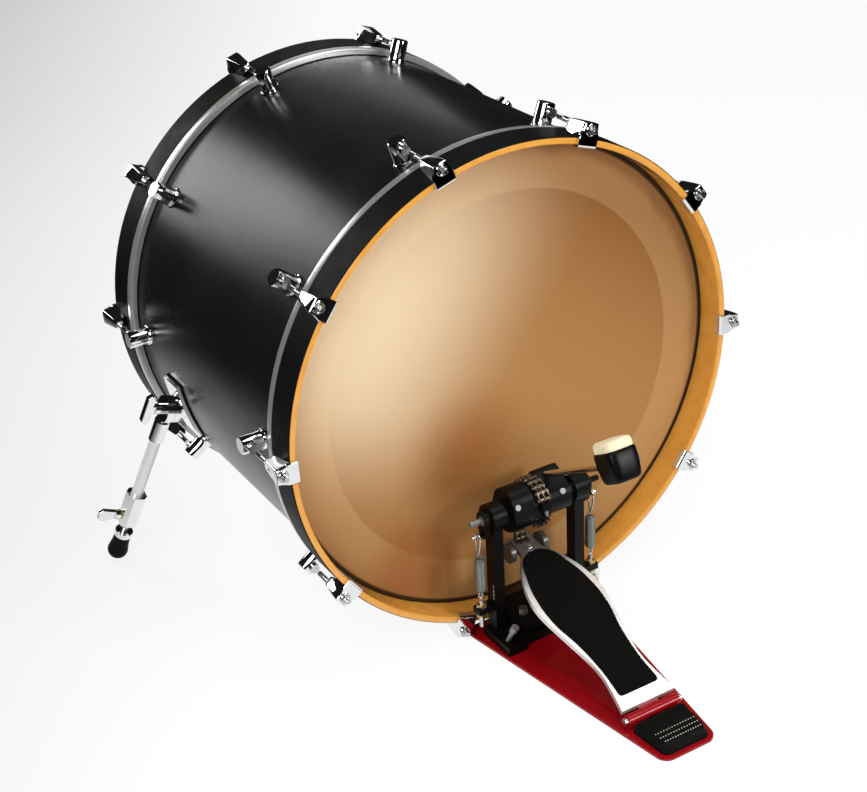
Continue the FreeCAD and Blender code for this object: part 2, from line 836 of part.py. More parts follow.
keep(group("SpurBrackets", bracket, mirror("RightBracket", bracket, SIDEWAYS)), "spur_brackets")

gasket_span = dim.bracket_span + 360 / math.pi * dim.gasket_margin / dim.shell_radius
gasket_y = bracket_y - dim.gasket_margin
gasket_width = dim.bracket_width + 2 * dim.gasket_margin
pillow = sector("Pillow", drum, outward, gasket_y, bracket_low, gasket_span, gasket_width)
shell_seat = cylinder("ShellSeat", drum, (0, bracket_y - dim.overrun, 0), "y", dim.shell_radius, seat_length)
gasket = cut("Gasket", pillow, shell_seat)
keep(group("SpurGaskets", gasket, mirror("RightGasket", gasket, SIDEWAYS)), "spur_gaskets")

# Spur legs: each piece on the left, and its mirrored copy on the right
def both_sides(piece, label):
    keep(piece, f"left_{label}")
    keep(mirror(f"Right{piece.Name}", piece, SIDEWAYS), f"right_{label}")


disc = cylinder("KnuckleDisc", spur, (-knuckle_half, 0, 0), "x", dim.knuckle_radius, dim.knuckle_width)
throat_size = (dim.knuckle_width, 2 * dim.tube_radius, dim.socket_start + dim.overrun)
throat = block("KnuckleThroat", spur, (-knuckle_half, -dim.tube_radius, 0), throat_size)
socket_length = dim.socket_end - dim.socket_start
socket = cylinder("KnuckleSocket", spur, (0, 0, dim.socket_start), "z", dim.socket_radius, socket_length)
tube_seat_radius = dim.tube_radius + dim.seat_gap
tube_seat = cylinder("TubeSeat", spur, (0, 0, dim.tube_start), "z", tube_seat_radius, dim.socket_end)
both_sides(cut("Knuckle", fuse("KnuckleWhole", disc, throat, socket), tube_seat, shank_hole), "spur_knuckle")

# Wing screw: locks the fold of the leg
wing_seat = knuckle_half + dim.loose_gap
shank_length = dim.wing_depth + dim.knuckle_width + dim.loose_gap
shank_base = (-knuckle_half - dim.wing_depth, 0, 0)
shank = cylinder("WingShank", spur, shank_base, "x", dim.wing_shank_radius, shank_length)
wing_hub = cylinder("WingHub", spur, (wing_seat, 0, 0), "x", dim.wing_hub_radius, dim.wing_hub_length)


def grip(name, base, lower_half, gauge):
    """A flat grip on a stem, the same above and below it, with its rims rounded."""
    plate = new_body(name, spur, base)
    upper_half = tuple((across, -along) for across, along in reversed(lower_half))
    slab = pad(plate, polygon(plate, "XZ_Plane", lower_half + upper_half), gauge, "Symmetric")

    def on_rim(edge):
        on_face = abs(edge.tangentAt(edge.FirstParameter).y) < 1e-6
        return on_face and max(point.X for point in edge.Vertexes) > 1e-6

    round_edges(plate, slab, dim.wing_edge, on_rim)
    return plate


wing_end = -dim.wing_height / 2
wing_edge = (
    (0, -dim.wing_hub_radius),
    (dim.wing_neck, -dim.wing_hub_radius),
    (dim.wing_neck, wing_end + dim.wing_corner),
    (dim.wing_neck + dim.wing_corner, wing_end),
    (dim.wing_width - dim.wing_corner, wing_end),
    (dim.wing_width, wing_end + dim.wing_corner),
)
wing = grip("Wing", (wing_seat + dim.wing_hub_length, 0, 0), wing_edge, dim.wing_gauge)
both_sides(fuse("WingScrew", shank, wing_hub, wing), "wing_screw")

# Leg tube and the clamp block on its end
tube_length = block_start + dim.block_lap - dim.tube_start
tube = cylinder("Tube", spur, (0, 0, dim.tube_start), "z", dim.tube_radius, tube_length)
tube_hole = cylinder("TubeHole", spur, (0, 0, 0), "z", dim.tube_bore, block_start + dim.block_length)
both_sides(cut("LegTube", tube, tube_hole), "leg_tube")

block_half = dim.block_width / 2
block_flat = block_half - dim.block_corner
clamp = new_body("Clamp", spur, (0, 0, block_start))
clamp_edge = (
    (-block_half, -block_flat),
    (-block_flat, -block_half),
    (block_flat, -block_half),
    (block_half, -block_flat),
    (block_half, block_flat),
    (block_flat, block_half),
    (-block_flat, block_half),
    (-block_half, block_flat),
)
pad(clamp, polygon(clamp, "XY_Plane", clamp_edge), dim.block_length)
pocket(clamp, circle(clamp, "XY_Plane", (0, 0), tube_seat_radius), "One side", dim.block_lap, True)
pocket(clamp, circle(clamp, "XY_Plane", (0, 0), dim.leg_rod_radius + dim.leg_rod_fit))
clamp_height = block_start + dim.clamp_screw_set
screw_hole = cylinder("ClampScrewHole", spur, (0, 0, clamp_height), "x", shank_hole_radius, dim.block_width)
both_sides(cut("ClampBlock", clamp, screw_hole), "clamp_block")

# Clamp screw with its washer: locks the length of the leg
washer = cylinder("Washer", spur, (block_half, 0, clamp_height), "x", dim.washer_radius, dim.washer_gauge)
both_sides(cut("ClampWasher", washer, screw_hole), "clamp_washer")
screw_tip = dim.leg_rod_radius + dim.loose_gap
screw_seat = block_half + dim.washer_gauge + dim.loose_gap
screw_base = (screw_tip, 0, clamp_height)
screw_shank = cylinder("ClampShank", spur, screw_base, "x", dim.wing_shank_radius, screw_seat - screw_tip)
screw_hub = cylinder(
    "ClampHub", spur, (screw_seat, 0, clamp_height), "x", dim.washer_radius, dim.clamp_screw_stand
)
tee_end = -dim.tee_height / 2
tee_edge = (
    (0, -dim.washer_radius),
    (dim.tee_width - dim.wing_corner, tee_end),
    (dim.tee_width, tee_end + dim.wing_corner),
)
tee = grip("Tee", (screw_seat + dim.clamp_screw_stand, 0, clamp_height), tee_edge, dim.tee_gauge)
both_sides(fuse("ClampScrew", screw_shank, screw_hub, tee), "clamp_screw")

# Leg rod, foot collar and rubber foot
foot_top = leg_length - dim.foot_length
grip_end = foot_top + dim.foot_grip
leg_rod = cylinder(
    "LegRod", spur, (0, 0, dim.leg_rod_start), "z", dim.leg_rod_radius, grip_end - dim.leg_rod_start
)
both_sides(leg_rod, "leg_rod")
grip_start = foot_top - dim.foot_cup_length
grip_hole = cylinder(
    "GripHole", spur, (0, 0, grip_start), "z", dim.leg_rod_radius + dim.seat_gap, grip_end - grip_start
)
foot_cup = cylinder("FootCup", spur, (0, 0, grip_start), "z", dim.foot_cup_radius, dim.foot_cup_length)
both_sides(cut("FootCollar", foot_cup, grip_hole), "foot_collar")
dome_centre = leg_length - dim.foot_round
foot = new_body("FootWhole", spur)
foot_section = [(0, foot_top), (dim.foot_top_radius, foot_top), (dim.foot_round, dome_centre)]
dome_points = (
    (sine(dim.foot_round_wide), cosine(dim.foot_round_wide)),
    (leg_of(1, leg_fall), leg_fall),
    (sine(dim.foot_round_end), cosine(dim.foot_round_end)),
    (0, cosine(dim.foot_round_end)),
)
for out, down in dome_points[:-1]:
    foot_section.append((dim.foot_round * out, dome_centre + dim.foot_round * down))
foot_section.append((0, dome_centre + dim.foot_round * dome_points[-1][1]))
revolve(foot, polygon(foot, "XZ_Plane", foot_section), "Z_Axis")
both_sides(cut("Foot", foot, grip_hole), "spur_foot")

# Pedal base plate: the red sheet on the floor with two raised ribs and the outer hinge barrels
pedal = frame("PedalFrame", None, (0, front_y, 0))
base = new_body("BaseSheet", pedal)
sheet_edge = (
    (-dim.plate_front_half, dim.plate_front_reach),
    (dim.plate_front_half, dim.plate_front_reach),
    (dim.plate_heel_half, -dim.plate_heel_reach),
    (-dim.plate_heel_half, -dim.plate_heel_reach),
)
base_pad = pad(base, polygon(base, "XY_Plane", sheet_edge), dim.plate_gauge)
round_edges(base, base_pad, dim.plate_heel_round, lambda edge: upright(edge) and edge.CenterOfMass.y < 0)
for hand in (1, -1):
    rib = (
        (hand * dim.rib_front_half, -dim.rib_front_set),
        (hand * (dim.rib_front_half - dim.rib_width), -dim.rib_front_set),
        (hand * (dim.rib_heel_half - dim.rib_width), -dim.rib_heel_set),
        (hand * dim.rib_heel_half, -dim.rib_heel_set),
    )
    pad(base, polygon(base, "XY_Plane", rib), dim.plate_gauge + dim.rib_rise)
barrel_inner = dim.barrel_middle_half + dim.loose_gap
barrel_length = dim.barrel_half - barrel_inner
barrels = []
for name, start in (("Left", -dim.barrel_half), ("Right", barrel_inner)):
    barrel_base = (start, -dim.hinge_set, dim.hinge_height)
    barrels.append(cylinder(f"{name}Barrel", pedal, barrel_base, "x", dim.barrel_radius, barrel_length))
    stand_base = (start, -dim.hinge_set - dim.barrel_radius, 0)
    stand_size = (barrel_length, 2 * dim.barrel_radius, dim.hinge_height)
    barrels.append(block(f"{name}BarrelStand", pedal, stand_base, stand_size))
pin_seat_base = (-dim.barrel_half, -dim.hinge_set, dim.hinge_height)
pin_seat = cylinder(
    "PinSeat", pedal, pin_seat_base, "x", dim.pin_radius + dim.seat_gap, 2 * dim.barrel_half
)
keep(cut("BasePlate", fuse("BaseWhole", base, *barrels), pin_seat), "base_plate")

# Hinge pin: through the barrels, with a round head at each end
pin = cylinder("Pin", pedal, pin_seat_base, "x", dim.pin_radius, 2 * dim.barrel_half)
left_head = cylinder(
    "PinHead",
    pedal,
    (-dim.barrel_half - dim.pin_head_length, -dim.hinge_set, dim.hinge_height),
    "x",
    dim.pin_head_radius,
    dim.pin_head_length,
)
right_head_base = (dim.barrel_half, -dim.hinge_set, dim.hinge_height)
right_head = cylinder("FarPinHead", pedal, right_head_base, "x", dim.pin_head_radius, dim.pin_head_length)
keep(fuse("HingePin", pin, left_head, right_head), "hinge_pin")

# Heel pad: a moulded block behind the hinge with grooves across it
heel = new_body("HeelPad", pedal, (0, 0, dim.plate_gauge))
heel_edge = (
    (-dim.heel_pad_front_half, -dim.heel_pad_front_set),
    (dim.heel_pad_front_half, -dim.heel_pad_front_set),
    (dim.heel_pad_back_half, -dim.heel_pad_back_set),
    (-dim.heel_pad_back_half, -dim.heel_pad_back_set),
)
heel_pad = pad(heel, polygon(heel, "XY_Plane", heel_edge), dim.heel_pad_height)
round_edges(
    heel,
    heel_pad,
    dim.plate_heel_round - dim.barrel_radius,
    lambda edge: upright(edge) and edge.CenterOfMass.y < -dim.heel_pad_front_set.number - dim.overrun.number,
)
groove_step = (dim.heel_pad_back_set - dim.heel_pad_front_set) / (dim.heel_groove_count + 1)
groove_low = dim.heel_pad_height - dim.heel_groove_depth
groove_high = dim.heel_pad_height + dim.overrun
for index in range(SIZES["heel_groove_count"]):
    groove_front = dim.heel_groove_width / 2 - dim.heel_pad_front_set - (index + 1) * groove_step
    groove_back = groove_front - dim.heel_groove_width
    groove = (
        (groove_front, groove_low),
        (groove_back, groove_low),
        (groove_back, groove_high),
        (groove_front, groove_high),
    )
    pocket(heel, polygon(heel, "YZ_Plane", groove))
keep(heel, "heel_pad")

# Posts: an upright bar with a foot, a round bearing head and the arm that carries the spring's screw
axle_y = -dim.axle_set
bar_base = (dim.post_set - dim.post_width / 2, axle_y - dim.post_depth / 2, dim.plate_gauge)
bar_size = (dim.post_width, dim.post_depth, dim.axle_height - dim.plate_gauge)
bar = block("PostBar", pedal, bar_base, bar_size)
head_base = (dim.post_set - dim.post_head_width / 2, axle_y, dim.axle_height)
head = cylinder("PostHead", pedal, head_base, "x", dim.post_head_radius, dim.post_head_width)
foot_base = (dim.post_set - dim.post_foot_width / 2, -dim.post_foot_back, dim.plate_gauge)
foot_size = (dim.post_foot_width, dim.post_foot_back - dim.post_foot_front, dim.post_foot_height)
post_foot = block("PostFoot", pedal, foot_base, foot_size)
arm_base = (dim.post_set, axle_y - dim.arm_depth / 2, dim.arm_height)
arm = block("PostArm", pedal, arm_base, (dim.arm_end - dim.post_set, dim.arm_depth, dim.arm_gauge))
bearing_seat = cylinder(
    "BearingSeat", pedal, head_base, "x", dim.bearing_radius + dim.seat_gap, dim.post_head_width
)
arm_hole_base = (dim.spring_across, axle_y, dim.arm_height)
arm_hole = cylinder(
    "ArmHole", pedal, arm_hole_base, "z", dim.tension_screw_radius + dim.seat_gap, dim.arm_gauge
)
post = cut("RightPost", fuse("PostWhole", bar, head, post_foot, arm), bearing_seat, arm_hole)
keep(post, "right_post")
foot_high = dim.plate_gauge + dim.post_foot_height
thumb_turns = (("y", dim.thumb_screw_turn), ("x", dim.thumb_screw_tilt))
thumb = frame("ThumbFrame", pedal, (-dim.thumb_screw_across, -dim.thumb_screw_set, foot_high), thumb_turns)
thumb_low = (0, 0, -dim.thumb_screw_depth)
thumb_hole = cylinder(
    "ThumbHole",
    thumb,
    thumb_low,
    "z",
    dim.thumb_screw_radius + dim.thumb_screw_fit,
    2 * dim.thumb_screw_depth,
)
keep(cut("LeftPost", mirror("LeftPostWhole", post, SIDEWAYS), thumb_hole), "left_post")

# Thumb screw: the knurled screw that stands at a slant in the left post's foot
thumb_tip = (0, 0, dim.loose_gap - dim.thumb_screw_depth)
thumb_length = dim.thumb_screw_depth + dim.thumb_screw_rise - dim.loose_gap
thumb_stem = cylinder("ThumbStem", thumb, thumb_tip, "z", dim.thumb_screw_radius, thumb_length)
thumb_head_base = (0, 0, dim.thumb_screw_rise)
thumb_head = cylinder("ThumbHead", thumb, thumb_head_base, "z", dim.thumb_head_radius, dim.thumb_head_length)
keep(fuse("ThumbScrew", thumb_stem, thumb_head), "thumb_screw")

# Axle bearings: a ring in each post's head
race_base = (dim.post_set - dim.bearing_width / 2, axle_y, dim.axle_height)
race = cylinder("Race", pedal, race_base, "x", dim.bearing_radius, dim.bearing_width)
race_hole = cylinder("RaceHole", pedal, race_base, "x", dim.bearing_bore, dim.bearing_width)
bearing = cut("Bearing", race, race_hole)
keep(group("AxleBearings", bearing, mirror("LeftBearing", bearing, SIDEWAYS)), "axle_bearings")

# Bridge: the bar between the posts' feet, with the lip that goes under the hoop
bridge_half = dim.post_set - dim.post_foot_width / 2
bridge_bar = block(
    "BridgeBar",
    pedal,
    (-bridge_half, -dim.bridge_back, dim.plate_gauge),
    (2 * bridge_half, dim.bridge_back - dim.loose_gap, dim.bridge_height),
)
lip_rise = dim.hoop_lift - dim.plate_gauge - dim.seat_gap
lip_base = (-bridge_half, -dim.bridge_back, dim.plate_gauge)
lip = block("BridgeLip", pedal, lip_base, (2 * bridge_half, dim.bridge_back + dim.bridge_lip_reach, lip_rise))
bolt_base = (-dim.clamp_bolt_across, -dim.clamp_bolt_set, 0)
bolt_hole = cylinder(
    "BoltHole",
    frame("BoltFrame", pedal, bolt_base),
    (0, 0, dim.plate_gauge + dim.bridge_height - dim.clamp_bolt_depth),
    "z",
    dim.clamp_bolt_radius + dim.seat_gap,
    dim.axle_height,
)
keep(cut("Bridge", fuse("BridgeWhole", bridge_bar, lip), bolt_hole), "frame_bridge")

# Hoop clamp: the jaw that grips the hoop from inside, and the bolt that pulls it down
jaw_half = bridge_half - dim.jaw_margin
jaw_seat = axis_height - leg_of(hoop_inner, jaw_half) + dim.seat_gap
bridge_top = dim.plate_gauge + dim.bridge_height
jaw = new_body("Jaw", pedal)
jaw_side = (
    (dim.jaw_reach, jaw_seat),
    (dim.jaw_reach, jaw_seat + dim.jaw_lip),
    (0, jaw_seat + dim.jaw_rise),
    (-dim.jaw_tail, jaw_seat + dim.jaw_rise),
    (-dim.jaw_tail, bridge_top),
    (-dim.jaw_heel, bridge_top),
    (-dim.jaw_heel, jaw_seat + dim.jaw_lip),
    (-dim.jaw_lip, jaw_seat),
)
pad(jaw, polygon(jaw, "YZ_Plane", jaw_side), 2 * jaw_half, "Symmetric")
keep(cut("ClampJaw", jaw, bolt_hole), "clamp_jaw")
jaw_top = jaw_seat + dim.jaw_rise
bolt_low = bridge_top - dim.clamp_bolt_depth + dim.seat_gap
bolt_shank_base = (-dim.clamp_bolt_across, -dim.clamp_bolt_set, bolt_low)
bolt_shank = cylinder("BoltShank", pedal, bolt_shank_base, "z", dim.clamp_bolt_radius, jaw_top - bolt_low)
bolt_head = hexagon(
    "BoltHead",
    pedal,
    (-dim.clamp_bolt_across, -dim.clamp_bolt_set, jaw_top),
    "z",
    dim.clamp_bolt_head_radius,
    dim.clamp_bolt_head_rise,
)
keep(fuse("ClampBolt", bolt_shank, bolt_head), "clamp_bolt")

# Axle: a six-sided bar through both posts, with a matching hole in all that turns with it
hub_frame = frame("AxleFrame", pedal, (0, axle_y, dim.axle_height))
axle = hexagon("Axle", hub_frame, (-dim.axle_half, 0, 0), "x", dim.axle_corner_radius, 2 * dim.axle_half)
keep(axle, "axle")
axle_hole_radius = dim.axle_corner_radius + dim.axle_fit
axle_hole = hexagon("AxleHole", hub_frame, (-dim.axle_half, 0, 0), "x", axle_hole_radius, 2 * dim.axle_half)

# Rocker hub: the casting to the left of the chain
rocker = new_body("Rocker", hub_frame, (-dim.rocker_outer, 0, 0), (("x", 180),))
rocker_edge = teardrop(rocker, "YZ_Plane", dim.rocker_radius, dim.rocker_nose_radius, dim.rocker_reach)
pad(rocker, rocker_edge, dim.rocker_outer - dim.rocker_inner)
screw_holes = []
set_screws = []
screw_frame = frame("ScrewFrame", hub_frame, (0, 0, 0), (("x", -dim.set_screw_rise),))
screw_places = (
    ("Rocker", -dim.rocker_screw_across, dim.rocker_radius),
    ("Hub", dim.hub_screw_across, dim.hub_radius),
)
for name, across, surface in screw_places:
    hole_base = (across, -surface - dim.overrun, 0)
    hole_length = dim.overrun + dim.set_screw_depth
    hole_radius = dim.set_screw_radius + dim.seat_gap
    screw_holes.append(cylinder(f"{name}ScrewHole", screw_frame, hole_base, "y", hole_radius, hole_length))
    set_base = (across, -surface - dim.set_screw_proud, 0)
    set_length = dim.set_screw_proud + dim.set_screw_depth
    set_screws.append(cylinder(f"{name}Screw", screw_frame, set_base, "y", dim.set_screw_radius, set_length))
keep(cut("RockerHub", rocker, axle_hole, screw_holes[0]), "rocker_hub")

# Sprocket: a core between the two hubs with two rows of teeth
core_radius = pitch_radius * cosine(180 / dim.tooth_count) - dim.chain_plate_depth / 2 - dim.tooth_gap
core = cylinder(
    "SprocketCore",
    hub_frame,
    (-dim.rocker_inner, 0, 0),
    "x",
    core_radius,
    dim.rocker_inner + dim.hub_inner,
)
tooth_foot = dim.chain_pitch / 2 - dim.chain_pin_radius - dim.tooth_gap
tooth_low = core_radius - dim.tooth_rise
tooth_high = pitch_radius + dim.tooth_rise
rows = []
for name, hand in (("Near", 1), ("Far", -1)):
    row_base = (dim.chain_across + hand * dim.chain_row, 0, 0)
    row = new_body(f"{name}Teeth", hub_frame, row_base, (("x", 180 / dim.tooth_count),))
    tooth = (
        (tooth_low, -tooth_foot),
        (tooth_high, -tooth_foot / 2),
        (tooth_high, tooth_foot / 2),
        (tooth_low, tooth_foot),
    )
    pad(row, polygon(row, "YZ_Plane", tooth), dim.tooth_gauge, "Symmetric")
    rows.append(ring_of(row, "X_Axis", dim.tooth_count))
anchor_frame = frame("AnchorFrame", hub_frame, (dim.chain_across, 0, 0), (("x", dim.anchor_turn),))
anchor_low = core_radius - dim.anchor_rise
anchor_base = (-dim.anchor_width / 2, -dim.anchor_length / 2, anchor_low)
anchor_size = (dim.anchor_width, dim.anchor_length, tooth_high - anchor_low)
anchor = block("ChainAnchor", anchor_frame, anchor_base, anchor_size)
keep(cut("Sprocket", fuse("SprocketWhole", core, anchor, *rows), axle_hole), "sprocket")

# Rotor screws: one in each hub, and the bolt under the chain's anchor
anchor_bolt_height = core_radius + dim.loose_gap + dim.anchor_bolt_radius
anchor_bolt_base = (0, -dim.anchor_length / 2 - dim.anchor_bolt_length, anchor_bolt_height)
anchor_bolt = cylinder(
    "AnchorBolt", anchor_frame, anchor_bolt_base, "y", dim.anchor_bolt_radius, dim.anchor_bolt_length
)
keep(group("RotorScrews", *set_screws, anchor_bolt), "rotor_screws")

# Beater hub and beater: in a frame that leans back from the head, with Z along the shaft and Y to the strike
rotor = frame("RotorFrame", hub_frame, (0, 0, 0), (("x", dim.beater_lean),))
hub = new_body("Hub", rotor, (dim.hub_inner, 0, 0), (("x", 90),))
hub_edge = teardrop(hub, "YZ_Plane", dim.hub_radius, dim.hub_clamp_radius, dim.beater_offset)
pad(hub, hub_edge, dim.hub_outer - dim.hub_inner)
shaft_hole = cylinder(
    "ShaftHole",
    rotor,
    (dim.beater_across, dim.beater_offset, -dim.shaft_tail),
    "z",
    dim.shaft_radius + dim.shaft_fit,
    2 * dim.shaft_tail,
)
keep(cut("BeaterHub", hub, axle_hole, screw_holes[1], shaft_hole), "beater_hub")

shaft = cylinder(
    "BeaterShaft",
    rotor,
    (dim.beater_across, dim.beater_offset, -dim.shaft_tail),
    "z",
    dim.shaft_radius,
    dim.shaft_tail + dim.beater_reach + dim.shaft_tip,
)
keep(shaft, "beater_shaft")
head_base = (dim.beater_across, dim.beater_offset, dim.beater_reach)

def soft_square(name, base, width, depth, taper, corner, rounds):
    """A square block along the strike, flared towards its front, with round corners and rounded ends."""
    solid = new_body(name, rotor, base)
    half = width / 2
    square = ((-half, -half), (half, -half), (half, half), (-half, half))
    whole = pad(solid, polygon(solid, "XZ_Plane", square), depth, back=True)
    if taper:
        bind(whole, TaperAngle=taper)

    def along_strike(edge):
        return abs(edge.tangentAt(edge.FirstParameter).y) > 0.9

    whole = round_edges(solid, whole, corner, along_strike)
    for end, radius in rounds:

        def on_end(edge, place=number_of(end)):
            return all(abs(point.Y - place) < 1e-4 for point in edge.Vertexes)

        whole = round_edges(solid, whole, radius, on_end)
    return solid


head_length = dim.head_back + dim.head_front
barrel = soft_square(
    "BeaterBlock",
    (dim.beater_across, dim.beater_offset - dim.head_back, dim.beater_reach),
    dim.head_rear_width,
    head_length,
    dim.head_taper,
    dim.head_corner,
    ((0, dim.head_rear_round), (head_length, dim.head_front_round)),
)
head_hole = cylinder(
    "HeadHole", rotor, head_base[:2] + (0,), "z", dim.shaft_radius + dim.seat_gap, 2 * dim.beater_reach
)
keep(cut("BeaterHead", barrel, head_hole), "beater_head")
felt = soft_square(
    "BeaterFelt",
    (dim.beater_across, dim.beater_offset + dim.head_front, dim.beater_reach),
    dim.felt_width,
    dim.felt_depth,
    None,
    dim.felt_corner,
    ((dim.felt_depth, dim.felt_edge),),
)
keep(felt, "beater_felt")

# Cranks: an arm on each end of the axle, whose pin carries the spring's link
crank_arm = new_body("CrankArm", hub_frame, (dim.crank_inner, 0, 0))
crank_edge = teardrop(crank_arm, "YZ_Plane", dim.crank_radius, dim.crank_tip_radius, dim.crank_reach)
pad(crank_arm, crank_edge, dim.crank_outer - dim.crank_inner)
crank_pin_base = (dim.crank_outer, 0, -dim.crank_reach)
crank_pin = cylinder("CrankPin", hub_frame, crank_pin_base, "x", dim.crank_pin_radius, dim.crank_pin_length)
crank = cut("Crank", fuse("CrankWhole", crank_arm, crank_pin), axle_hole)
keep(group("Cranks", crank, mirror("LeftCrank", crank, SIDEWAYS)), "cranks")

# Spring links: a loop round the crank's pin over a cap for the spring
link_loop = new_body("LinkLoop", hub_frame, (dim.spring_across - dim.link_gauge / 2, 0, -dim.crank_reach))
loop_inner = dim.crank_pin_radius + dim.link_gap
loop_outer = teardrop(link_loop, "YZ_Plane", loop_inner + dim.link_band, dim.link_tip_radius, dim.link_reach)
pad(link_loop, loop_outer, dim.link_gauge)
loop_tip = dim.link_tip_radius - dim.link_band
pocket(link_loop, teardrop(link_loop, "YZ_Plane", loop_inner, loop_tip, dim.link_reach))
cap_low = dim.link_band / 2 - dim.crank_reach - dim.link_reach - dim.link_tip_radius - dim.cap_rise
top_cap = cylinder("TopCap", hub_frame, (dim.spring_across, 0, cap_low), "z", dim.cap_radius, dim.cap_rise)
link = fuse("Link", link_loop, top_cap)
keep(group("SpringLinks", link, mirror("LeftLink", link, SIDEWAYS)), "spring_links")

# Tension screws and nuts: they stand in the posts' arms and set the pull of the springs
screw_low = dim.arm_height - dim.tension_screw_drop
screw_high = dim.arm_height + dim.arm_gauge + dim.tension_screw_rise
stem_base = (dim.spring_across, axle_y, screw_low)
stem = cylinder("TensionStem", pedal, stem_base, "z", dim.tension_screw_radius, screw_high - screw_low)
low_cap_base = (dim.spring_across, axle_y, screw_high)
low_cap = cylinder("LowCap", pedal, low_cap_base, "z", dim.cap_radius, dim.cap_rise)
tension_screw = fuse("TensionScrew", stem, low_cap)
left_tension_screw = mirror("LeftTensionScrew", tension_screw, SIDEWAYS)
keep(group("TensionScrews", tension_screw, left_tension_screw), "tension_screws")
stem_hole = cylinder(
    "StemHole",
    pedal,
    (dim.spring_across, axle_y, 0),
    "z",
    dim.tension_screw_radius + dim.seat_gap,
    dim.axle_height,
)
tension_nuts = []
nut_lows = (dim.arm_height + dim.arm_gauge, dim.arm_height - dim.tension_nut_rise)
for name, low in zip(("Upper", "Lower"), nut_lows):
    hex_base = (dim.spring_across, axle_y, low)
    blank = hexagon(f"{name}Blank", pedal, hex_base, "z", dim.tension_nut_radius, dim.tension_nut_rise)
    tension_nut = cut(f"{name}Nut", blank, stem_hole)
    tension_nuts += [tension_nut, mirror(f"Left{name}Nut", tension_nut, SIDEWAYS)]
keep(group("TensionNuts", *tension_nuts), "tension_nuts")

# Pieces whose curves need their points worked out: they read their numbers from the sheet


def read(value):
    return float(drum.evalExpression(formula_of(value)))


def curved(name, home, base, turns, shape):
    piece = doc.addObject("Part::Feature", name)
    piece.Shape = shape
    return put(piece, home, base, turns)


def arc_between(start, corner, end):
    """The arc from start to end whose two tangents meet at the corner."""
    middle = (start + end) * 0.5
    rise = corner - middle
    half = (end - start).Length / 2
    bulge = half * math.tan(math.atan2(rise.Length, half) / 2)
    return Part.Arc(start, middle + rise.normalize() * bulge, end).toShape()


def two_arcs(start, leaving, end, arriving):
    """A smooth pair of arcs between two points with given directions."""
    way = end - start
    spread = 2 * (1 - leaving.dot(arriving))
    lead = way.dot(leaving + arriving)
    reach = (math.sqrt(lead * lead + spread * way.dot(way)) - lead) / spread
    near = start + leaving * reach
    far = end - arriving * reach
    meeting = (near + far) * 0.5
    return [arc_between(start, near, meeting), arc_between(meeting, far, end)]


# Springs: one unbroken wire each, wound between the link's cap and the tension screw's cap
QUARTERS = 4
WIRE_SIDES = 5
wire = read(dim.spring_wire)
coil = read(dim.spring_radius)
turns = int(read(dim.spring_turns))
spring_low = screw_high + dim.cap_rise
spring_rise = read(dim.axle_height + cap_low - spring_low)
bend = read(dim.spring_bend)
coil_low = wire + bend
coil_rise = (spring_rise - 2 * coil_low) / turns
UP = Vector(0, 0, 1)


def coil_point(step):
    angle = 2 * math.pi * step / QUARTERS
    return Vector(coil * math.cos(angle), coil * math.sin(angle), coil_low + coil_rise * step / QUARTERS)


def coil_way(step):
    angle = 2 * math.pi * step / QUARTERS
    return Vector(-coil * math.sin(angle), coil * math.cos(angle), coil_rise / (2 * math.pi)).normalize()


last = turns * QUARTERS
foot_point = Vector(coil, -bend, 0)
tip_point = Vector(coil, bend, spring_rise)
path = [Part.LineSegment(foot_point, foot_point + UP * wire).toShape()]
path += two_arcs(foot_point + UP * wire, UP, coil_point(0), coil_way(0))
for step in range(last):
    path += two_arcs(coil_point(step), coil_way(step), coil_point(step + 1), coil_way(step + 1))
path += two_arcs(coil_point(last), coil_way(last), tip_point - UP * wire, UP)
path.append(Part.LineSegment(tip_point - UP * wire, tip_point).toShape())
corners = []
for index in range(WIRE_SIDES + 1):
    angle = 2 * math.pi * index / WIRE_SIDES
    corners.append(foot_point + Vector(math.cos(angle), math.sin(angle), 0) * (wire / 2))
wound = Part.Wire(path).makePipeShell([Part.makePolygon(corners)], True, False)
spring = curved("Spring", pedal, (dim.spring_across, axle_y, spring_low), (), wound)
keep(group("Springs", spring, mirror("LeftSpring", spring, SIDEWAYS)), "springs")

SAMPLES = 8
marks = []
walked = 0
for edge in path:
    for point in edge.discretize(SAMPLES)[1:]:
        walked += edge.Length / (SAMPLES - 1)
        marks.append((walked, point))
least = min(
    (late - early).Length
    for index, (gone, early) in enumerate(marks)
    for further, late in marks[index + 1 :]
    if further - gone > math.pi * coil
)
print(f"least gap between the spring's turns: {least - wire:.2f} mm")

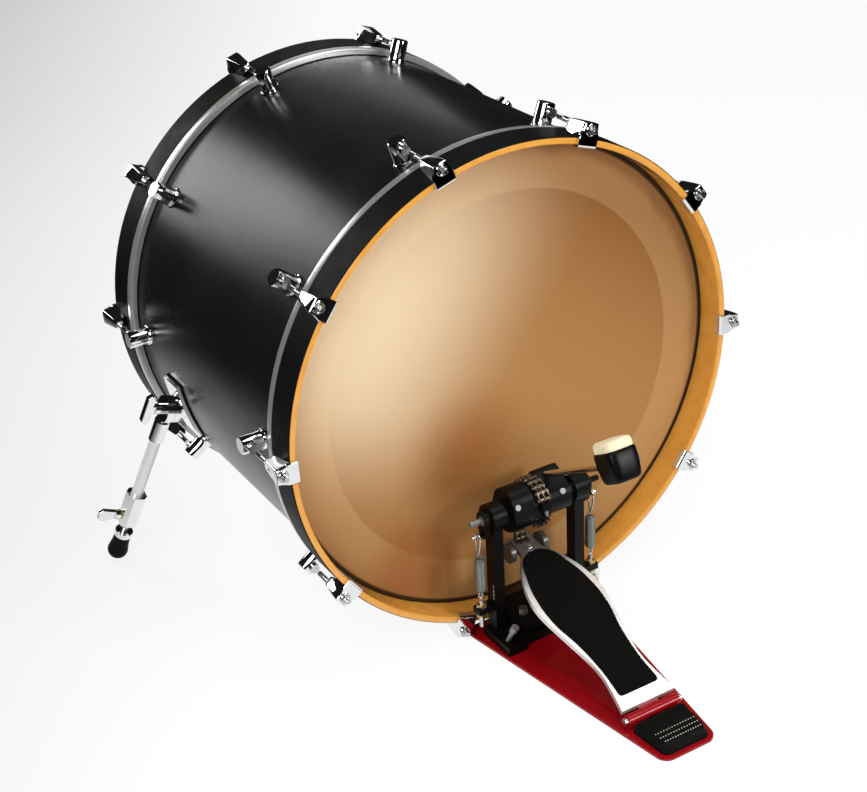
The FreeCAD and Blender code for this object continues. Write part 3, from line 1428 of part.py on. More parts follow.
# Chain: plates and pins round the sprocket and straight down to the toe pin, joined as one piece
plate_gauge = read(dim.chain_plate)
plate_half = read(dim.chain_plate_depth) / 2
chain_step = read(dim.chain_pitch)
ring_radius = read(pitch_radius)
tooth_angle = 2 * math.pi / read(dim.tooth_count)
stations = []
for index in range(int(read(dim.wrap_links)), 0, -1):
    angle = index * tooth_angle
    stations.append(Vector(0, ring_radius * math.cos(angle), ring_radius * math.sin(angle)))
for index in range(int(read(dim.drop_links)) + 1):
    stations.append(Vector(0, ring_radius, -index * chain_step))
outer_x = read(2 * dim.chain_row)
OUTER = (-outer_x, 0, outer_x)
INNER = (plate_gauge - outer_x, -plate_gauge, plate_gauge, outer_x - plate_gauge)
RIGHT = Vector(1, 0, 0)
metal = []
for index, (early, late) in enumerate(zip(stations, stations[1:])):
    way = (late - early).normalize()
    side = RIGHT.cross(way)
    edge = []
    for centre, ahead in ((early, -1), (late, 1)):
        for forward, beside in PLATE_CORNER_SHARES:
            edge.append(centre + (way * forward + side * beside) * (ahead * plate_half))
    for middle in INNER if index % 2 else OUTER:
        shift = RIGHT * (middle - plate_gauge / 2)
        outline = Part.makePolygon([point + shift for point in edge + edge[:1]])
        metal.append(Part.Face(outline).extrude(RIGHT * plate_gauge))
PIN_SIDES = 6
pin_half = outer_x + plate_gauge
pin_radius = read(dim.chain_pin_radius)
for station in stations[:-1]:
    rim = []
    for index in range(PIN_SIDES + 1):
        angle = 2 * math.pi * index / PIN_SIDES
        rim.append(station + Vector(-pin_half, pin_radius * math.cos(angle), pin_radius * math.sin(angle)))
    metal.append(Part.Face(Part.makePolygon(rim)).extrude(RIGHT * (2 * pin_half)))
link_hole_radius = read(dim.toe_pin_radius + dim.pin_fit)
link_hole = Part.makeCylinder(link_hole_radius, 4 * pin_half, stations[-1] - RIGHT * (2 * pin_half), RIGHT)
linked = metal[0].multiFuse(metal[1:]).cut(link_hole).removeSplitter()
keep(curved("Chain", hub_frame, (dim.chain_across, 0, 0), (), linked.Solids[0]), "chain")

# Footboard: in a frame at the hinge, with Y along the board and Z square to it
board = frame("BoardFrame", pedal, (0, -dim.hinge_set, dim.hinge_height), (("x", board_slope),))
board_neck = board_reach - dim.board_neck
board_end = board_reach + dim.board_toe


def curved_plate(start, end, widths, tail, low, high):
    """A plate with smooth sides: half widths at even or given ways along, then straight edges to a tail."""
    right = []
    for way, width in widths:
        right.append(Vector(width, start + way * (end - start), low))
    left = [Vector(-point.x, point.y, point.z) for point in reversed(right)]
    sides = []
    for run in (right, left):
        smooth = Part.BSplineCurve()
        smooth.interpolate(run)
        sides.append(smooth.toShape())
    ends = [right[-1]] + [Vector(across, along, low) for across, along in tail] + [left[0]]
    edges = [sides[0]]
    edges += [Part.LineSegment(near, far).toShape() for near, far in zip(ends, ends[1:])]
    edges += [sides[1], Part.LineSegment(left[-1], right[0]).toShape()]
    return Part.Face(Part.Wire(edges)).extrude(Vector(0, 0, high - low))


widest = read(dim.board_half)
board_low = read(dim.board_lift)
board_high = board_low + read(dim.board_gauge)
board_widths = [(way, share * widest) for way, share in zip(BOARD_WAY_SHARES, BOARD_WIDTH_SHARES)]
toe_right = read(dim.chain_across + dim.board_toe_half)
toe_left = read(dim.chain_across - dim.board_toe_half)
toe_tail = ((toe_right, read(board_end)), (toe_left, read(board_end)))
board_top = curved_plate(
    read(dim.board_heel), read(board_neck), board_widths, toe_tail, board_low, board_high
)
board_plate = curved("BoardPlate", board, (0, 0, 0), (), board_top)
pad_low = board_high - read(dim.pad_sunk)
pad_widths = [(way, share * widest) for way, share in zip(PAD_WAY_SHARES, PAD_WIDTH_SHARES)]
pad_end = board_reach - dim.pad_toe
pad_top = curved_plate(
    read(dim.pad_heel), read(pad_end), pad_widths, (), pad_low, pad_low + read(dim.pad_gauge)
)
board_pad = curved("BoardPad", board, (0, 0, 0), (), pad_top)
toe = frame("ToeFrame", board, (dim.chain_across, board_reach, 0))
ears = []
for name, start in (("Right", dim.toe_slot_half), ("Left", -dim.board_toe_half)):
    ear_size = (
        dim.board_toe_half - dim.toe_slot_half,
        dim.toe_ear + dim.board_toe,
        dim.toe_ear_depth + dim.board_lift + dim.board_gauge / 2,
    )
    ears.append(block(f"{name}Ear", toe, (start, -dim.toe_ear, -dim.toe_ear_depth), ear_size))
slot = block(
    "ToeSlot",
    toe,
    (-dim.toe_slot_half, -dim.toe_slot, -dim.toe_ear_depth),
    (2 * dim.toe_slot_half, dim.toe_slot + dim.board_toe + dim.overrun, 3 * dim.toe_ear_depth),
)
toe_hole_radius = dim.toe_pin_radius + dim.seat_gap
toe_hole = cylinder("ToeHole", toe, (-dim.board_half, 0, 0), "x", toe_hole_radius, 2 * dim.board_half)
disc_height = dim.board_lift + dim.board_gauge / 2
disc_hole_base = (-dim.board_half, -dim.toe_disc_set, disc_height)
disc_hole = cylinder("DiscHole", toe, disc_hole_base, "x", toe_hole_radius, 2 * dim.board_half)
board_whole = fuse("BoardWhole", board_plate, *ears)
keep(cut("Footboard", board_whole, slot, board_pad, toe_hole, disc_hole), "footboard")
keep(board_pad, "footboard_pad")

# Footboard hinge: the red middle barrel and the leaf under the board's heel
middle_base = (-dim.barrel_middle_half, 0, 0)
middle_length = 2 * dim.barrel_middle_half
middle_barrel = cylinder("MiddleBarrel", board, middle_base, "x", dim.barrel_radius, middle_length)
leaf_base = (-dim.barrel_middle_half, 0, dim.board_lift - dim.leaf_gauge)
leaf = block("Leaf", board, leaf_base, (middle_length, dim.leaf_length, dim.leaf_gauge))
pin_hole = cylinder("PinHole", board, middle_base, "x", dim.pin_radius + dim.pin_fit, middle_length)
keep(cut("FootboardHinge", fuse("HingeWhole", middle_barrel, leaf), pin_hole), "footboard_hinge")

# Toe pins: one carries the round discs beside the board, one holds the chain's last link between the ears
disc_outer = dim.toe_disc_inner + dim.toe_disc_gauge
disc_pin_base = (-disc_outer, -dim.toe_disc_set, disc_height)
discs = [cylinder("DiscPin", toe, disc_pin_base, "x", dim.toe_pin_radius, 2 * disc_outer)]
for name, start in (("Left", -disc_outer), ("Right", dim.toe_disc_inner)):
    disc_base = (start, -dim.toe_disc_set, disc_height)
    discs.append(cylinder(f"{name}ToeDisc", toe, disc_base, "x", dim.toe_disc_radius, dim.toe_disc_gauge))
chain_pin_base = (-dim.board_toe_half, 0, 0)
chain_pin = cylinder("ChainPin", toe, chain_pin_base, "x", dim.toe_pin_radius, 2 * dim.board_toe_half)
keep(group("ToePins", fuse("ToeDiscs", *discs), chain_pin), "toe_pins")

# Checks, then one file for each sub-part
doc.recompute()
for item in doc.Objects:
    if "Invalid" in item.State or "Error" in item.State:
        raise RuntimeError(f"{item.Name} did not build: {item.State}")
    shape = getattr(item, "Shape", None)
    if shape is not None and (shape.isNull() or not shape.isValid()):
        raise RuntimeError(f"{item.Name} has no sound shape")
os.makedirs("parts", exist_ok=True)
for piece in nodes:
    piece.Shape.exportStep(f"parts/{piece.Label}.step")
    box = piece.Shape.BoundBox
    print(piece.Label, len(piece.Shape.Solids), round(piece.Shape.Volume), box)
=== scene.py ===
import math

import bmesh
import bpy
from mathutils import Matrix, Vector


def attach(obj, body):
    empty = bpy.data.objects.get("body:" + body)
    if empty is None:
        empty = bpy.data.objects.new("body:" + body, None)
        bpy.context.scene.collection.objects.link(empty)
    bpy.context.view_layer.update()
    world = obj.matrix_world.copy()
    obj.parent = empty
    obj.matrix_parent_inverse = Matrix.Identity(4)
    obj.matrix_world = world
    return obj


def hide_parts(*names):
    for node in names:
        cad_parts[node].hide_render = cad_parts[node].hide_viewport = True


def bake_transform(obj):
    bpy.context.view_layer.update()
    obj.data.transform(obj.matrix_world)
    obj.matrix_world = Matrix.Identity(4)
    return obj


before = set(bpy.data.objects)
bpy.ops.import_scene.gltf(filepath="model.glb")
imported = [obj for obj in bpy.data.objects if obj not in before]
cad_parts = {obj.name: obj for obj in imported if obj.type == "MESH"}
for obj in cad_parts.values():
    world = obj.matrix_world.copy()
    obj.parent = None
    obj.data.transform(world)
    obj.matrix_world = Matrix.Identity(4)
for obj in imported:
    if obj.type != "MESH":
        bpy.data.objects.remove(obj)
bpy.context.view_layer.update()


# Camera: it stands to the left of the player, above the hoop, and looks down on the batter head.
# Its place, turn and lens are those that put the hoops, claws and pedal where the photograph has them.
camera_place = Vector((-0.87997, -1.42241, 1.15790))
camera_right = Vector((0.85145, -0.52205, -0.04996))
camera_up = Vector((0.28598, 0.38234, 0.87865))
camera_back = Vector((-0.43960, -0.76241, 0.47484))
camera_data = bpy.data.cameras.new("camera")
camera_data.sensor_fit = "HORIZONTAL"
camera_data.sensor_width = 36.0
camera_data.lens = 67.925
camera_data.clip_start = 0.05
camera = bpy.data.objects.new("camera", camera_data)
camera.matrix_world = Matrix((
    (camera_right.x, camera_up.x, camera_back.x, camera_place.x),
    (camera_right.y, camera_up.y, camera_back.y, camera_place.y),
    (camera_right.z, camera_up.z, camera_back.z, camera_place.z),
    (0.0, 0.0, 0.0, 1.0)))
bpy.context.scene.collection.objects.link(camera)
bpy.context.scene.camera = camera


# Floor: a wide pale sheet of studio paper that the pedal's plate and the two rubber feet stand on.
# To the camera it is nearly white, a little greyer far to the left, and it keeps a soft shadow.
# Bright metal mirrors it as a white sheet that ends a step in front of the drum, in a dark studio.
def put_in_scene(name, data):
    """A new object in the scene: a mesh, a curve, a text or a lamp."""
    piece = bpy.data.objects.new(name, data)
    bpy.context.scene.collection.objects.link(piece)
    return piece


def here(tree):
    """Where each point lies, as the piece was built."""
    return tree.nodes.new("ShaderNodeTexCoord").outputs["Object"]


def here_along(tree, axis):
    """How far each point lies along one axis of the frame."""
    sides = tree.nodes.new("ShaderNodeSeparateXYZ")
    tree.links.new(here(tree), sides.inputs[0])
    return sides.outputs[axis]


def vector_of(tree, operation, first, second=None):
    """One step of arithmetic on a vector; the second value is a socket or a plain vector."""
    step = tree.nodes.new("ShaderNodeVectorMath")
    step.operation = operation
    tree.links.new(first, step.inputs[0])
    if isinstance(second, tuple):
        step.inputs[1].default_value = second
    elif second is not None:
        tree.links.new(second, step.inputs[1])
    return step.outputs["Value" if operation in ("DOT_PRODUCT", "LENGTH") else "Vector"]


def sum_of(tree, operation, *values, clamp=False):
    """One step of arithmetic on sockets and plain numbers."""
    step = tree.nodes.new("ShaderNodeMath")
    step.operation = operation
    step.use_clamp = clamp
    for own, value in zip(step.inputs, values):
        if isinstance(value, float):
            own.default_value = value
        else:
            tree.links.new(value, own)
    return step.outputs[0]


def ramp_of(tree, value, low, high, start=0.0, end=1.0, kind="SMOOTHSTEP"):
    """A number that goes from start to end while a value goes from low to high."""
    ramp = tree.nodes.new("ShaderNodeMapRange")
    ramp.interpolation_type = kind
    ramp.inputs["From Min"].default_value = low
    ramp.inputs["From Max"].default_value = high
    ramp.inputs["To Min"].default_value = start
    ramp.inputs["To Max"].default_value = end
    tree.links.new(value, ramp.inputs["Value"])
    return ramp.outputs[0]


def mix_shaders(tree, share, first, second):
    """Two shaders, mixed by the share of the second."""
    mixer = tree.nodes.new("ShaderNodeMixShader")
    for own, value in zip(mixer.inputs, (share, first, second)):
        tree.links.new(value, own)
    return mixer.outputs[0]


paper_reach = 14.0
paper_own_light = 0.86
paper_leftward = (-0.86, 0.50, 0.0)
paper_mesh = bpy.data.meshes.new("floor")
paper_mesh.from_pydata(
    [(-paper_reach, -paper_reach, 0), (paper_reach, -paper_reach, 0),
     (paper_reach, paper_reach, 0), (-paper_reach, paper_reach, 0)], [], [(0, 1, 2, 3)])
floor = put_in_scene("floor", paper_mesh)
paper = bpy.data.materials.new("studio_paper")
paper.use_nodes = True
paper_tree = paper.node_tree
paper_tree.nodes.clear()
paper_out = paper_tree.nodes.new("ShaderNodeOutputMaterial")
paper_matt = paper_tree.nodes.new("ShaderNodeBsdfDiffuse")
paper_matt.inputs["Color"].default_value = (0.80, 0.80, 0.80, 1.0)
paper_ray = paper_tree.nodes.new("ShaderNodeLightPath")
paper_glow = paper_tree.nodes.new("ShaderNodeEmission")
paper_left = vector_of(paper_tree, "DOT_PRODUCT", here(paper_tree), paper_leftward)
paper_shade = ramp_of(paper_tree, paper_left, 0.30, 1.335, 1.05, 0.60, "LINEAR")
paper_tree.links.new(paper_shade, paper_glow.inputs["Strength"])
paper_straight = sum_of(paper_tree, "ADD", paper_ray.outputs["Is Camera Ray"],
                        paper_ray.outputs["Is Transmission Ray"], clamp=True)
paper_seen = mix_shaders(paper_tree, sum_of(paper_tree, "MULTIPLY", paper_straight, paper_own_light),
                         paper_matt.outputs[0], paper_glow.outputs[0])
mirrored_far = ramp_of(paper_tree, vector_of(paper_tree, "LENGTH", here(paper_tree)), 0.75, 1.25, 0.92, 0.02)
mirrored_front = ramp_of(paper_tree, here_along(paper_tree, "Y"), -0.86, -0.72, 0.02, 1.0)
mirrored_left = ramp_of(paper_tree, here_along(paper_tree, "X"), -0.72, -0.28, 0.30, 1.0)
mirrored_near = sum_of(paper_tree, "MULTIPLY", mirrored_far, mirrored_front)
paper_mirrored = paper_tree.nodes.new("ShaderNodeEmission")
paper_tree.links.new(sum_of(paper_tree, "MULTIPLY", mirrored_near, mirrored_left),
                     paper_mirrored.inputs["Strength"])
paper_tree.links.new(mix_shaders(paper_tree, paper_ray.outputs["Is Glossy Ray"], paper_seen,
                                 paper_mirrored.outputs[0]), paper_out.inputs["Surface"])
floor.data.materials.append(paper)


# Studio light: a large soft key to the player's left, a box behind that draws the band on the black shell,
# a low one beside it for the claws' crests, a box overhead, a fill from the right that throws the pedal's
# shadow on the head, and an even room, which is dark where bright metal mirrors it.
def soft_box(name, place, aim, width, height, watts):
    """A rectangle of light at a place, turned to what it is aimed at."""
    lamp_data = bpy.data.lights.new(name, "AREA")
    lamp_data.shape = "RECTANGLE"
    lamp_data.size = width
    lamp_data.size_y = height
    lamp_data.energy = watts
    lamp = put_in_scene(name, lamp_data)
    lamp.location = place
    lamp.rotation_euler = (Vector(aim) - Vector(place)).to_track_quat("-Z", "Y").to_euler()


soft_box("key_box", (-1.75, -1.35, 1.55), (-0.1, -0.1, 0.3), 1.3, 1.1, 28.0)
soft_box("band_box", (-0.72, 1.60, 1.02), (-0.2, 0.15, 0.49), 0.50, 0.9, 8.2)
soft_box("crest_box", (0.65, 1.75, 1.05), (0.1, 0.0, 0.6), 0.8, 0.4, 0.9)
soft_box("top_box", (0.5, -0.4, 2.3), (0.0, 0.0, 0.3), 1.6, 1.2, 22.0)
soft_box("fill_box", (1.1, -2.0, 1.1), (0.0, -0.2, 0.3), 0.6, 0.6, 25.0)
room_light, room_mirrored, room_to_camera = 0.34, 0.012, 0.40
room = bpy.data.worlds.new("room")
room.use_nodes = True
room_tree = room.node_tree
room_back = room_tree.nodes["Background"]
room_back.inputs["Color"].default_value = (0.86, 0.88, 0.90, 1.0)
room_ray = room_tree.nodes.new("ShaderNodeLightPath")
room_level = ramp_of(room_tree, room_ray.outputs["Is Glossy Ray"], 0.0, 1.0, room_light, room_mirrored,
                     "LINEAR")
room_tree.links.new(sum_of(room_tree, "MULTIPLY_ADD", room_ray.outputs["Is Camera Ray"], room_to_camera,
                           room_level), room_back.inputs["Strength"])
bpy.context.scene.world = room
bpy.context.scene.view_settings.view_transform = "Standard"


# Shell: a wooden tube under a satin black wrap, with bare maple plies on its inside.
# The wrap has a fine leathery grain, and handling leaves faint smudges in its sheen.
def skin_group():
    """Colour, roughness and height of a surface that varies in broad patches and in a fine grain."""
    group = bpy.data.node_groups.new("skin", "ShaderNodeTree")
    for name, kind, value in (
            ("Light", "NodeSocketColor", (1, 1, 1, 1)), ("Dark", "NodeSocketColor", (0, 0, 0, 1)),
            ("Smooth", "NodeSocketFloat", 0.2), ("Rough", "NodeSocketFloat", 0.5),
            ("Patch Scale", "NodeSocketFloat", 20.0), ("Grain Scale", "NodeSocketFloat", 900.0),
            ("Stretch", "NodeSocketVector", (1, 1, 1))):
        group.interface.new_socket(name, in_out="INPUT", socket_type=kind).default_value = value
    for name, kind in (("Color", "NodeSocketColor"), ("Roughness", "NodeSocketFloat"),
                       ("Height", "NodeSocketFloat")):
        group.interface.new_socket(name, in_out="OUTPUT", socket_type=kind)
    inside = group.nodes.new("NodeGroupInput")
    result = group.nodes.new("NodeGroupOutput")
    stretch = vector_of(group, "MULTIPLY", here(group), inside.outputs["Stretch"])
    waves = []
    for scale, detail in (("Patch Scale", 5.0), ("Grain Scale", 3.0)):
        wave = group.nodes.new("ShaderNodeTexNoise")
        wave.inputs["Detail"].default_value = detail
        group.links.new(stretch, wave.inputs["Vector"])
        group.links.new(inside.outputs[scale], wave.inputs["Scale"])
        waves.append(wave.outputs["Fac"])
    patch, grain = waves
    patch_share, grain_share = 0.65, 0.35
    spread = ramp_of(group, patch, 0.30, 0.70, kind="LINEAR")
    shift = sum_of(group, "MULTIPLY", spread, patch_share)
    colour = group.nodes.new("ShaderNodeMix")
    colour.data_type = "RGBA"
    rough = group.nodes.new("ShaderNodeMapRange")
    for source, target in ((sum_of(group, "MULTIPLY_ADD", grain, grain_share, shift), colour.inputs["Factor"]),
                           (inside.outputs["Dark"], colour.inputs[6]),
                           (inside.outputs["Light"], colour.inputs[7]),
                           (spread, rough.inputs["Value"]),
                           (inside.outputs["Smooth"], rough.inputs["To Min"]),
                           (inside.outputs["Rough"], rough.inputs["To Max"]),
                           (colour.outputs[2], result.inputs["Color"]),
                           (rough.outputs[0], result.inputs["Roughness"]),
                           (grain, result.inputs["Height"])):
        group.links.new(source, target)
    return group


skin = skin_group()


def finish_of(name, light, dark, smooth, rough, metal=0.0, patch=20.0, grain=900.0, bump=0.1,
              stretch=(1, 1, 1), coat=0.0, specular=0.5):
    """A finish with its own skin: two tones, two roughnesses, the scale of its patches and of its grain."""
    finish = bpy.data.materials.new(name)
    finish.use_nodes = True
    nodes = finish.node_tree.nodes
    shader = nodes["Principled BSDF"]
    for socket, value in (("Metallic", metal), ("Specular IOR Level", specular), ("Coat Weight", coat),
                          ("Coat Roughness", 0.08)):
        shader.inputs[socket].default_value = value
    own = nodes.new("ShaderNodeGroup")
    own.name = "skin"
    own.node_tree = skin
    for socket, value in (("Light", (*light, 1.0)), ("Dark", (*dark, 1.0)), ("Smooth", smooth), ("Rough", rough),
                          ("Patch Scale", patch), ("Grain Scale", grain), ("Stretch", stretch)):
        own.inputs[socket].default_value = value
    relief = nodes.new("ShaderNodeBump")
    relief.name = "relief"
    relief.inputs["Strength"].default_value = bump
    relief.inputs["Distance"].default_value = 0.0004
    for source, target in ((own.outputs["Color"], shader.inputs["Base Color"]),
                           (own.outputs["Roughness"], shader.inputs["Roughness"]),
                           (own.outputs["Height"], relief.inputs["Height"]),
                           (relief.outputs["Normal"], shader.inputs["Normal"])):
        finish.node_tree.links.new(source, target)
    return finish


def skin_part(finish, name):
    """The colour or the roughness of a finish's own skin."""
    return finish.node_tree.nodes["skin"].outputs[name]


def feed(finish, name, value):
    """Leads a socket to one of the sockets of a finish's own shader."""
    finish.node_tree.links.new(value, finish.node_tree.nodes["Principled BSDF"].inputs[name])


def coat_node(finish, *names):
    """Gives a finish to CAD nodes by way of their own material slots."""
    for name in names:
        for own_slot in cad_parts[name].material_slots:
            own_slot.material = finish


drum_axis_height = 0.2977


def add_radius(finish, across=0.0, up=0.0):
    """The distance of each point from the drum's axis, or from a line beside it."""
    tree = finish.node_tree
    from_line = vector_of(tree, "SUBTRACT", here(tree), (across, 0.0, drum_axis_height + up))
    return vector_of(tree, "LENGTH", vector_of(tree, "MULTIPLY", from_line, (1.0, 0.0, 1.0)))


def step_at(finish, value, low, high):
    """A mask that rises from 0 to 1 while a value goes from low to high."""
    return ramp_of(finish.node_tree, value, low, high)


def mix_colours(finish, mask, first, second):
    """Two colours, each a socket or a plain colour, mixed by a mask."""
    mixer = finish.node_tree.nodes.new("ShaderNodeMix")
    mixer.data_type = "RGBA"
    finish.node_tree.links.new(mask, mixer.inputs["Factor"])
    for value, own in ((first, mixer.inputs[6]), (second, mixer.inputs[7])):
        if isinstance(value, tuple):
            own.default_value = (*value, 1.0)
        else:
            finish.node_tree.links.new(value, own)
    return mixer.outputs[2]


maple = (0.60, 0.33, 0.13)
black_wrap = finish_of("black_wrap", (0.010, 0.010, 0.010), (0.006, 0.006, 0.006), 0.25, 0.29, patch=9.0,
                       grain=420.0, bump=0.06, specular=0.25)
wrapped = step_at(black_wrap, add_radius(black_wrap), 0.2785, 0.2789)
feed(black_wrap, "Base Color", mix_colours(black_wrap, wrapped, maple, skin_part(black_wrap, "Color")))
coat_node(black_wrap, "shell")


# Batter head: one ply of frosted film, through which the maple inside the shell shows, and a narrow
# damping ring behind its edge that makes a paler band with a soft step on its inner side.
# Its colour has light and shade painted in: a painted glow at the upper left, painted shade towards the upper
# right and lower left, painted shadows that deepen the pedal's own shadow, and a painted dark line at the hoop's
# edge.
frosted = finish_of("frosted_film", (0.42, 0.210, 0.070), (0.37, 0.180, 0.056), 0.46, 0.54, patch=320.0,
                    grain=1700.0, bump=0.04, specular=0.12)
film_tree = frosted.node_tree


def along_film(across, up):
    """How far each point of the head lies along a direction in its plane, from the drum's axis."""
    way = vector_of(film_tree, "DOT_PRODUCT", here(film_tree), (across, 0.0, up))
    return sum_of(film_tree, "SUBTRACT", way, drum_axis_height * up)


def squared_away(value, reach):
    """A mask that falls from 1 in the middle to 0 at the reach, on both sides."""
    share = sum_of(film_tree, "DIVIDE", value, reach)
    return sum_of(film_tree, "SUBTRACT", 1.0, sum_of(film_tree, "MULTIPLY", share, share), clamp=True)


def soft_spot(across, up, reach, core, strength):
    """A mask for a soft round painted shadow beside the drum's axis."""
    spot = step_at(frosted, add_radius(frosted, across, up), reach, core)
    return sum_of(film_tree, "MULTIPLY", spot, strength)


# Painted light and shade in the head's colour: the painted glow's tone, the painted shade far from it, two
# painted shadows of the pedal and a painted dark line at the hoop's edge. The damping ring's paler band is its
# own colour.
painted_far_shade, painted_glow_tone = (0.23, 0.090, 0.020), (0.76, 0.585, 0.385)
pedal_shade, foot_shade = (0.25, 0.074, 0.013), (0.27, 0.085, 0.020)
ring_tone, edge_shade = (0.95, 0.66, 0.32), (0.035, 0.017, 0.006)
ring_strength = 0.12
glow_turn = math.radians(145)
to_glow = along_film(math.cos(glow_turn), math.sin(glow_turn))
past_glow = along_film(math.sin(glow_turn), -math.cos(glow_turn))
clear_of_far_shade = squared_away(sum_of(film_tree, "ADD", past_glow, 0.04), 0.27)
painted_glow_wide = sum_of(film_tree, "MULTIPLY", step_at(frosted, to_glow, -0.02, 0.20), squared_away(past_glow, 0.25))
painted_glow_mask = sum_of(film_tree, "MULTIPLY", painted_glow_wide, step_at(frosted, past_glow, -0.26, -0.06))
film_radius = add_radius(frosted)
ring_mask = sum_of(film_tree, "MULTIPLY", step_at(frosted, film_radius, 0.2225, 0.2255), ring_strength)
film_colour = mix_colours(frosted, clear_of_far_shade, painted_far_shade, skin_part(frosted, "Color"))
# Layers over the wood, in order: the painted glow, a painted shadow of the pedal, the damping ring's paler band,
# a second painted shadow of the pedal low on the head, and a painted shadow line at the hoop's edge.
for mask, tone in ((painted_glow_mask, painted_glow_tone),
                   (soft_spot(-0.055, -0.075, 0.10, 0.01, 0.65), pedal_shade),
                   (ring_mask, ring_tone),
                   (soft_spot(-0.13, -0.20, 0.085, 0.02, 0.65), foot_shade),
                   (step_at(frosted, film_radius, 0.2730, 0.2765), edge_shade)):
    film_colour = mix_colours(frosted, mask, film_colour, tone)
feed(frosted, "Base Color", film_colour)
coat_node(frosted, "batter_film", "damping_ring")


# Front head: a plain black film on the far side, formed with the same collar and held by the same kind of
# flesh hoop and wooden hoop.
black_film = finish_of("black_film", (0.016, 0.016, 0.016), (0.010, 0.010, 0.010), 0.26, 0.36, patch=30.0,
                       grain=1200.0, bump=0.05)
coat_node(black_film, "reso_film")


# Flesh hoops: rolled aluminium channels with rounded edges that grip the film's edge and show as a
# bright band between the shell and each wooden hoop. Rolling leaves fine lines round them.
rolled_aluminium = finish_of("rolled_aluminium", (0.50, 0.51, 0.50), (0.43, 0.44, 0.43), 0.22, 0.28, metal=0.6,
                             patch=6.0, grain=700.0, bump=0.008, stretch=(1, 9, 1))
hoop_front = -0.0940
drum_middle = 0.1437
drum_centre = Vector((0.0, 0.0, drum_axis_height))


def lathe(shape, section, steps):
    """A closed section of (radius, distance behind the batter hoop's front) points, turned about the drum."""
    rings = []
    for step in range(steps):
        turn = 2 * math.pi * step / steps
        outward = Vector((math.cos(turn), 0.0, math.sin(turn)))
        rings.append([shape.verts.new(drum_centre + outward * radius + Vector((0, hoop_front + along, 0)))
                      for radius, along in section])
    for index, ring in enumerate(rings):
        before = rings[index - 1]
        for corner in range(len(section)):
            face = shape.faces.new((before[corner - 1], before[corner], ring[corner], ring[corner - 1]))
            face.smooth = True


def mesh_of(name, shape, finish, sharp=40):
    """One piece from a bmesh in one finish; edges that turn by more than the sharp angle, in degrees, show."""
    bmesh.ops.recalc_face_normals(shape, faces=shape.faces)
    mesh = bpy.data.meshes.new(name)
    shape.to_mesh(mesh)
    shape.free()
    mesh.set_sharp_from_angle(angle=math.radians(sharp))
    mesh.materials.append(finish)
    return put_in_scene(name, mesh)


flesh_inner, flesh_outer = 0.2806, 0.2885
flesh_near, flesh_far, flesh_round = 0.0401, 0.0520, 0.0022
flesh_section = [(flesh_inner, flesh_near), (flesh_outer - flesh_round, flesh_near)]
for turn in range(15, 90, 15):
    flesh_section.append((flesh_outer - flesh_round * (1 - math.sin(math.radians(turn))),
                          flesh_near + flesh_round * (1 - math.cos(math.radians(turn)))))
flesh_section += [(flesh_outer, flesh_near + flesh_round), (flesh_outer, flesh_far - flesh_round)]
for turn in range(15, 90, 15):
    flesh_section.append((flesh_outer - flesh_round * (1 - math.cos(math.radians(turn))),
                          flesh_far - flesh_round * (1 - math.sin(math.radians(turn)))))
flesh_section += [(flesh_outer - flesh_round, flesh_far), (flesh_inner, flesh_far)]
for name, node in (("batter_channel", "batter_flesh_hoop"), ("reso_channel", "reso_flesh_hoop")):
    channel = bmesh.new()
    lathe(channel, flesh_section, 240)
    if name == "reso_channel":
        for vert in channel.verts:
            vert.co.y = 2 * drum_middle - vert.co.y
    channel_ring = mesh_of(name, channel, rolled_aluminium)
    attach(channel_ring, "drum")
    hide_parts(node)


# Wooden hoops: bent maple plies with clear orange lacquer on the inside and the edge, and
# a satin black stain outside. The plies show as fine rings on the edge.
hoop_lacquer = finish_of("hoop_lacquer", (0.82, 0.390, 0.068), (0.69, 0.300, 0.044), 0.22, 0.34, patch=45.0,
                         grain=340.0, bump=0.06, specular=0.08)
hoop_tree = hoop_lacquer.node_tree
ply_tone, stain_tone = (0.42, 0.17, 0.025), (0.0045, 0.0045, 0.0045)
ply_rings, ply_strength = 5200.0, 0.30
stain_inner, stain_outer, stain_roughness = 0.2877, 0.2881, 0.22
hoop_radius_here = add_radius(hoop_lacquer)
ply_wave = sum_of(hoop_tree, "SINE", sum_of(hoop_tree, "MULTIPLY", hoop_radius_here, ply_rings))
ply_mask = sum_of(hoop_tree, "MULTIPLY", step_at(hoop_lacquer, ply_wave, 0.2, 1.0), ply_strength)
plied = mix_colours(hoop_lacquer, ply_mask, skin_part(hoop_lacquer, "Color"), ply_tone)
stained = step_at(hoop_lacquer, hoop_radius_here, stain_inner, stain_outer)
feed(hoop_lacquer, "Base Color", mix_colours(hoop_lacquer, stained, plied, stain_tone))
feed(hoop_lacquer, "Coat Weight", step_at(hoop_lacquer, hoop_radius_here, stain_outer, stain_inner))
feed(hoop_lacquer, "Roughness", sum_of(hoop_tree, "MULTIPLY_ADD", stained, stain_roughness,
                                       skin_part(hoop_lacquer, "Roughness")))
coat_node(hoop_lacquer, "batter_hoop", "reso_hoop")


# Spur castings and beater shaft: die-cast zinc and drawn steel under polished chrome, with faint finger
# marks. The brackets are screwed to the shell, and each carries a leg with its knuckle and its clamp.
chrome = finish_of("chrome", (0.90, 0.91, 0.91), (0.82, 0.83, 0.83), 0.03, 0.08, metal=1.0, patch=60.0,
                   grain=900.0, bump=0.008)
coat_node(chrome, "spur_brackets", "beater_shaft")
for side in ("left", "right"):
    coat_node(chrome, *(f"{side}_{piece}" for piece in
                        ("spur_knuckle", "wing_screw", "clamp_block", "clamp_screw", "foot_collar")))


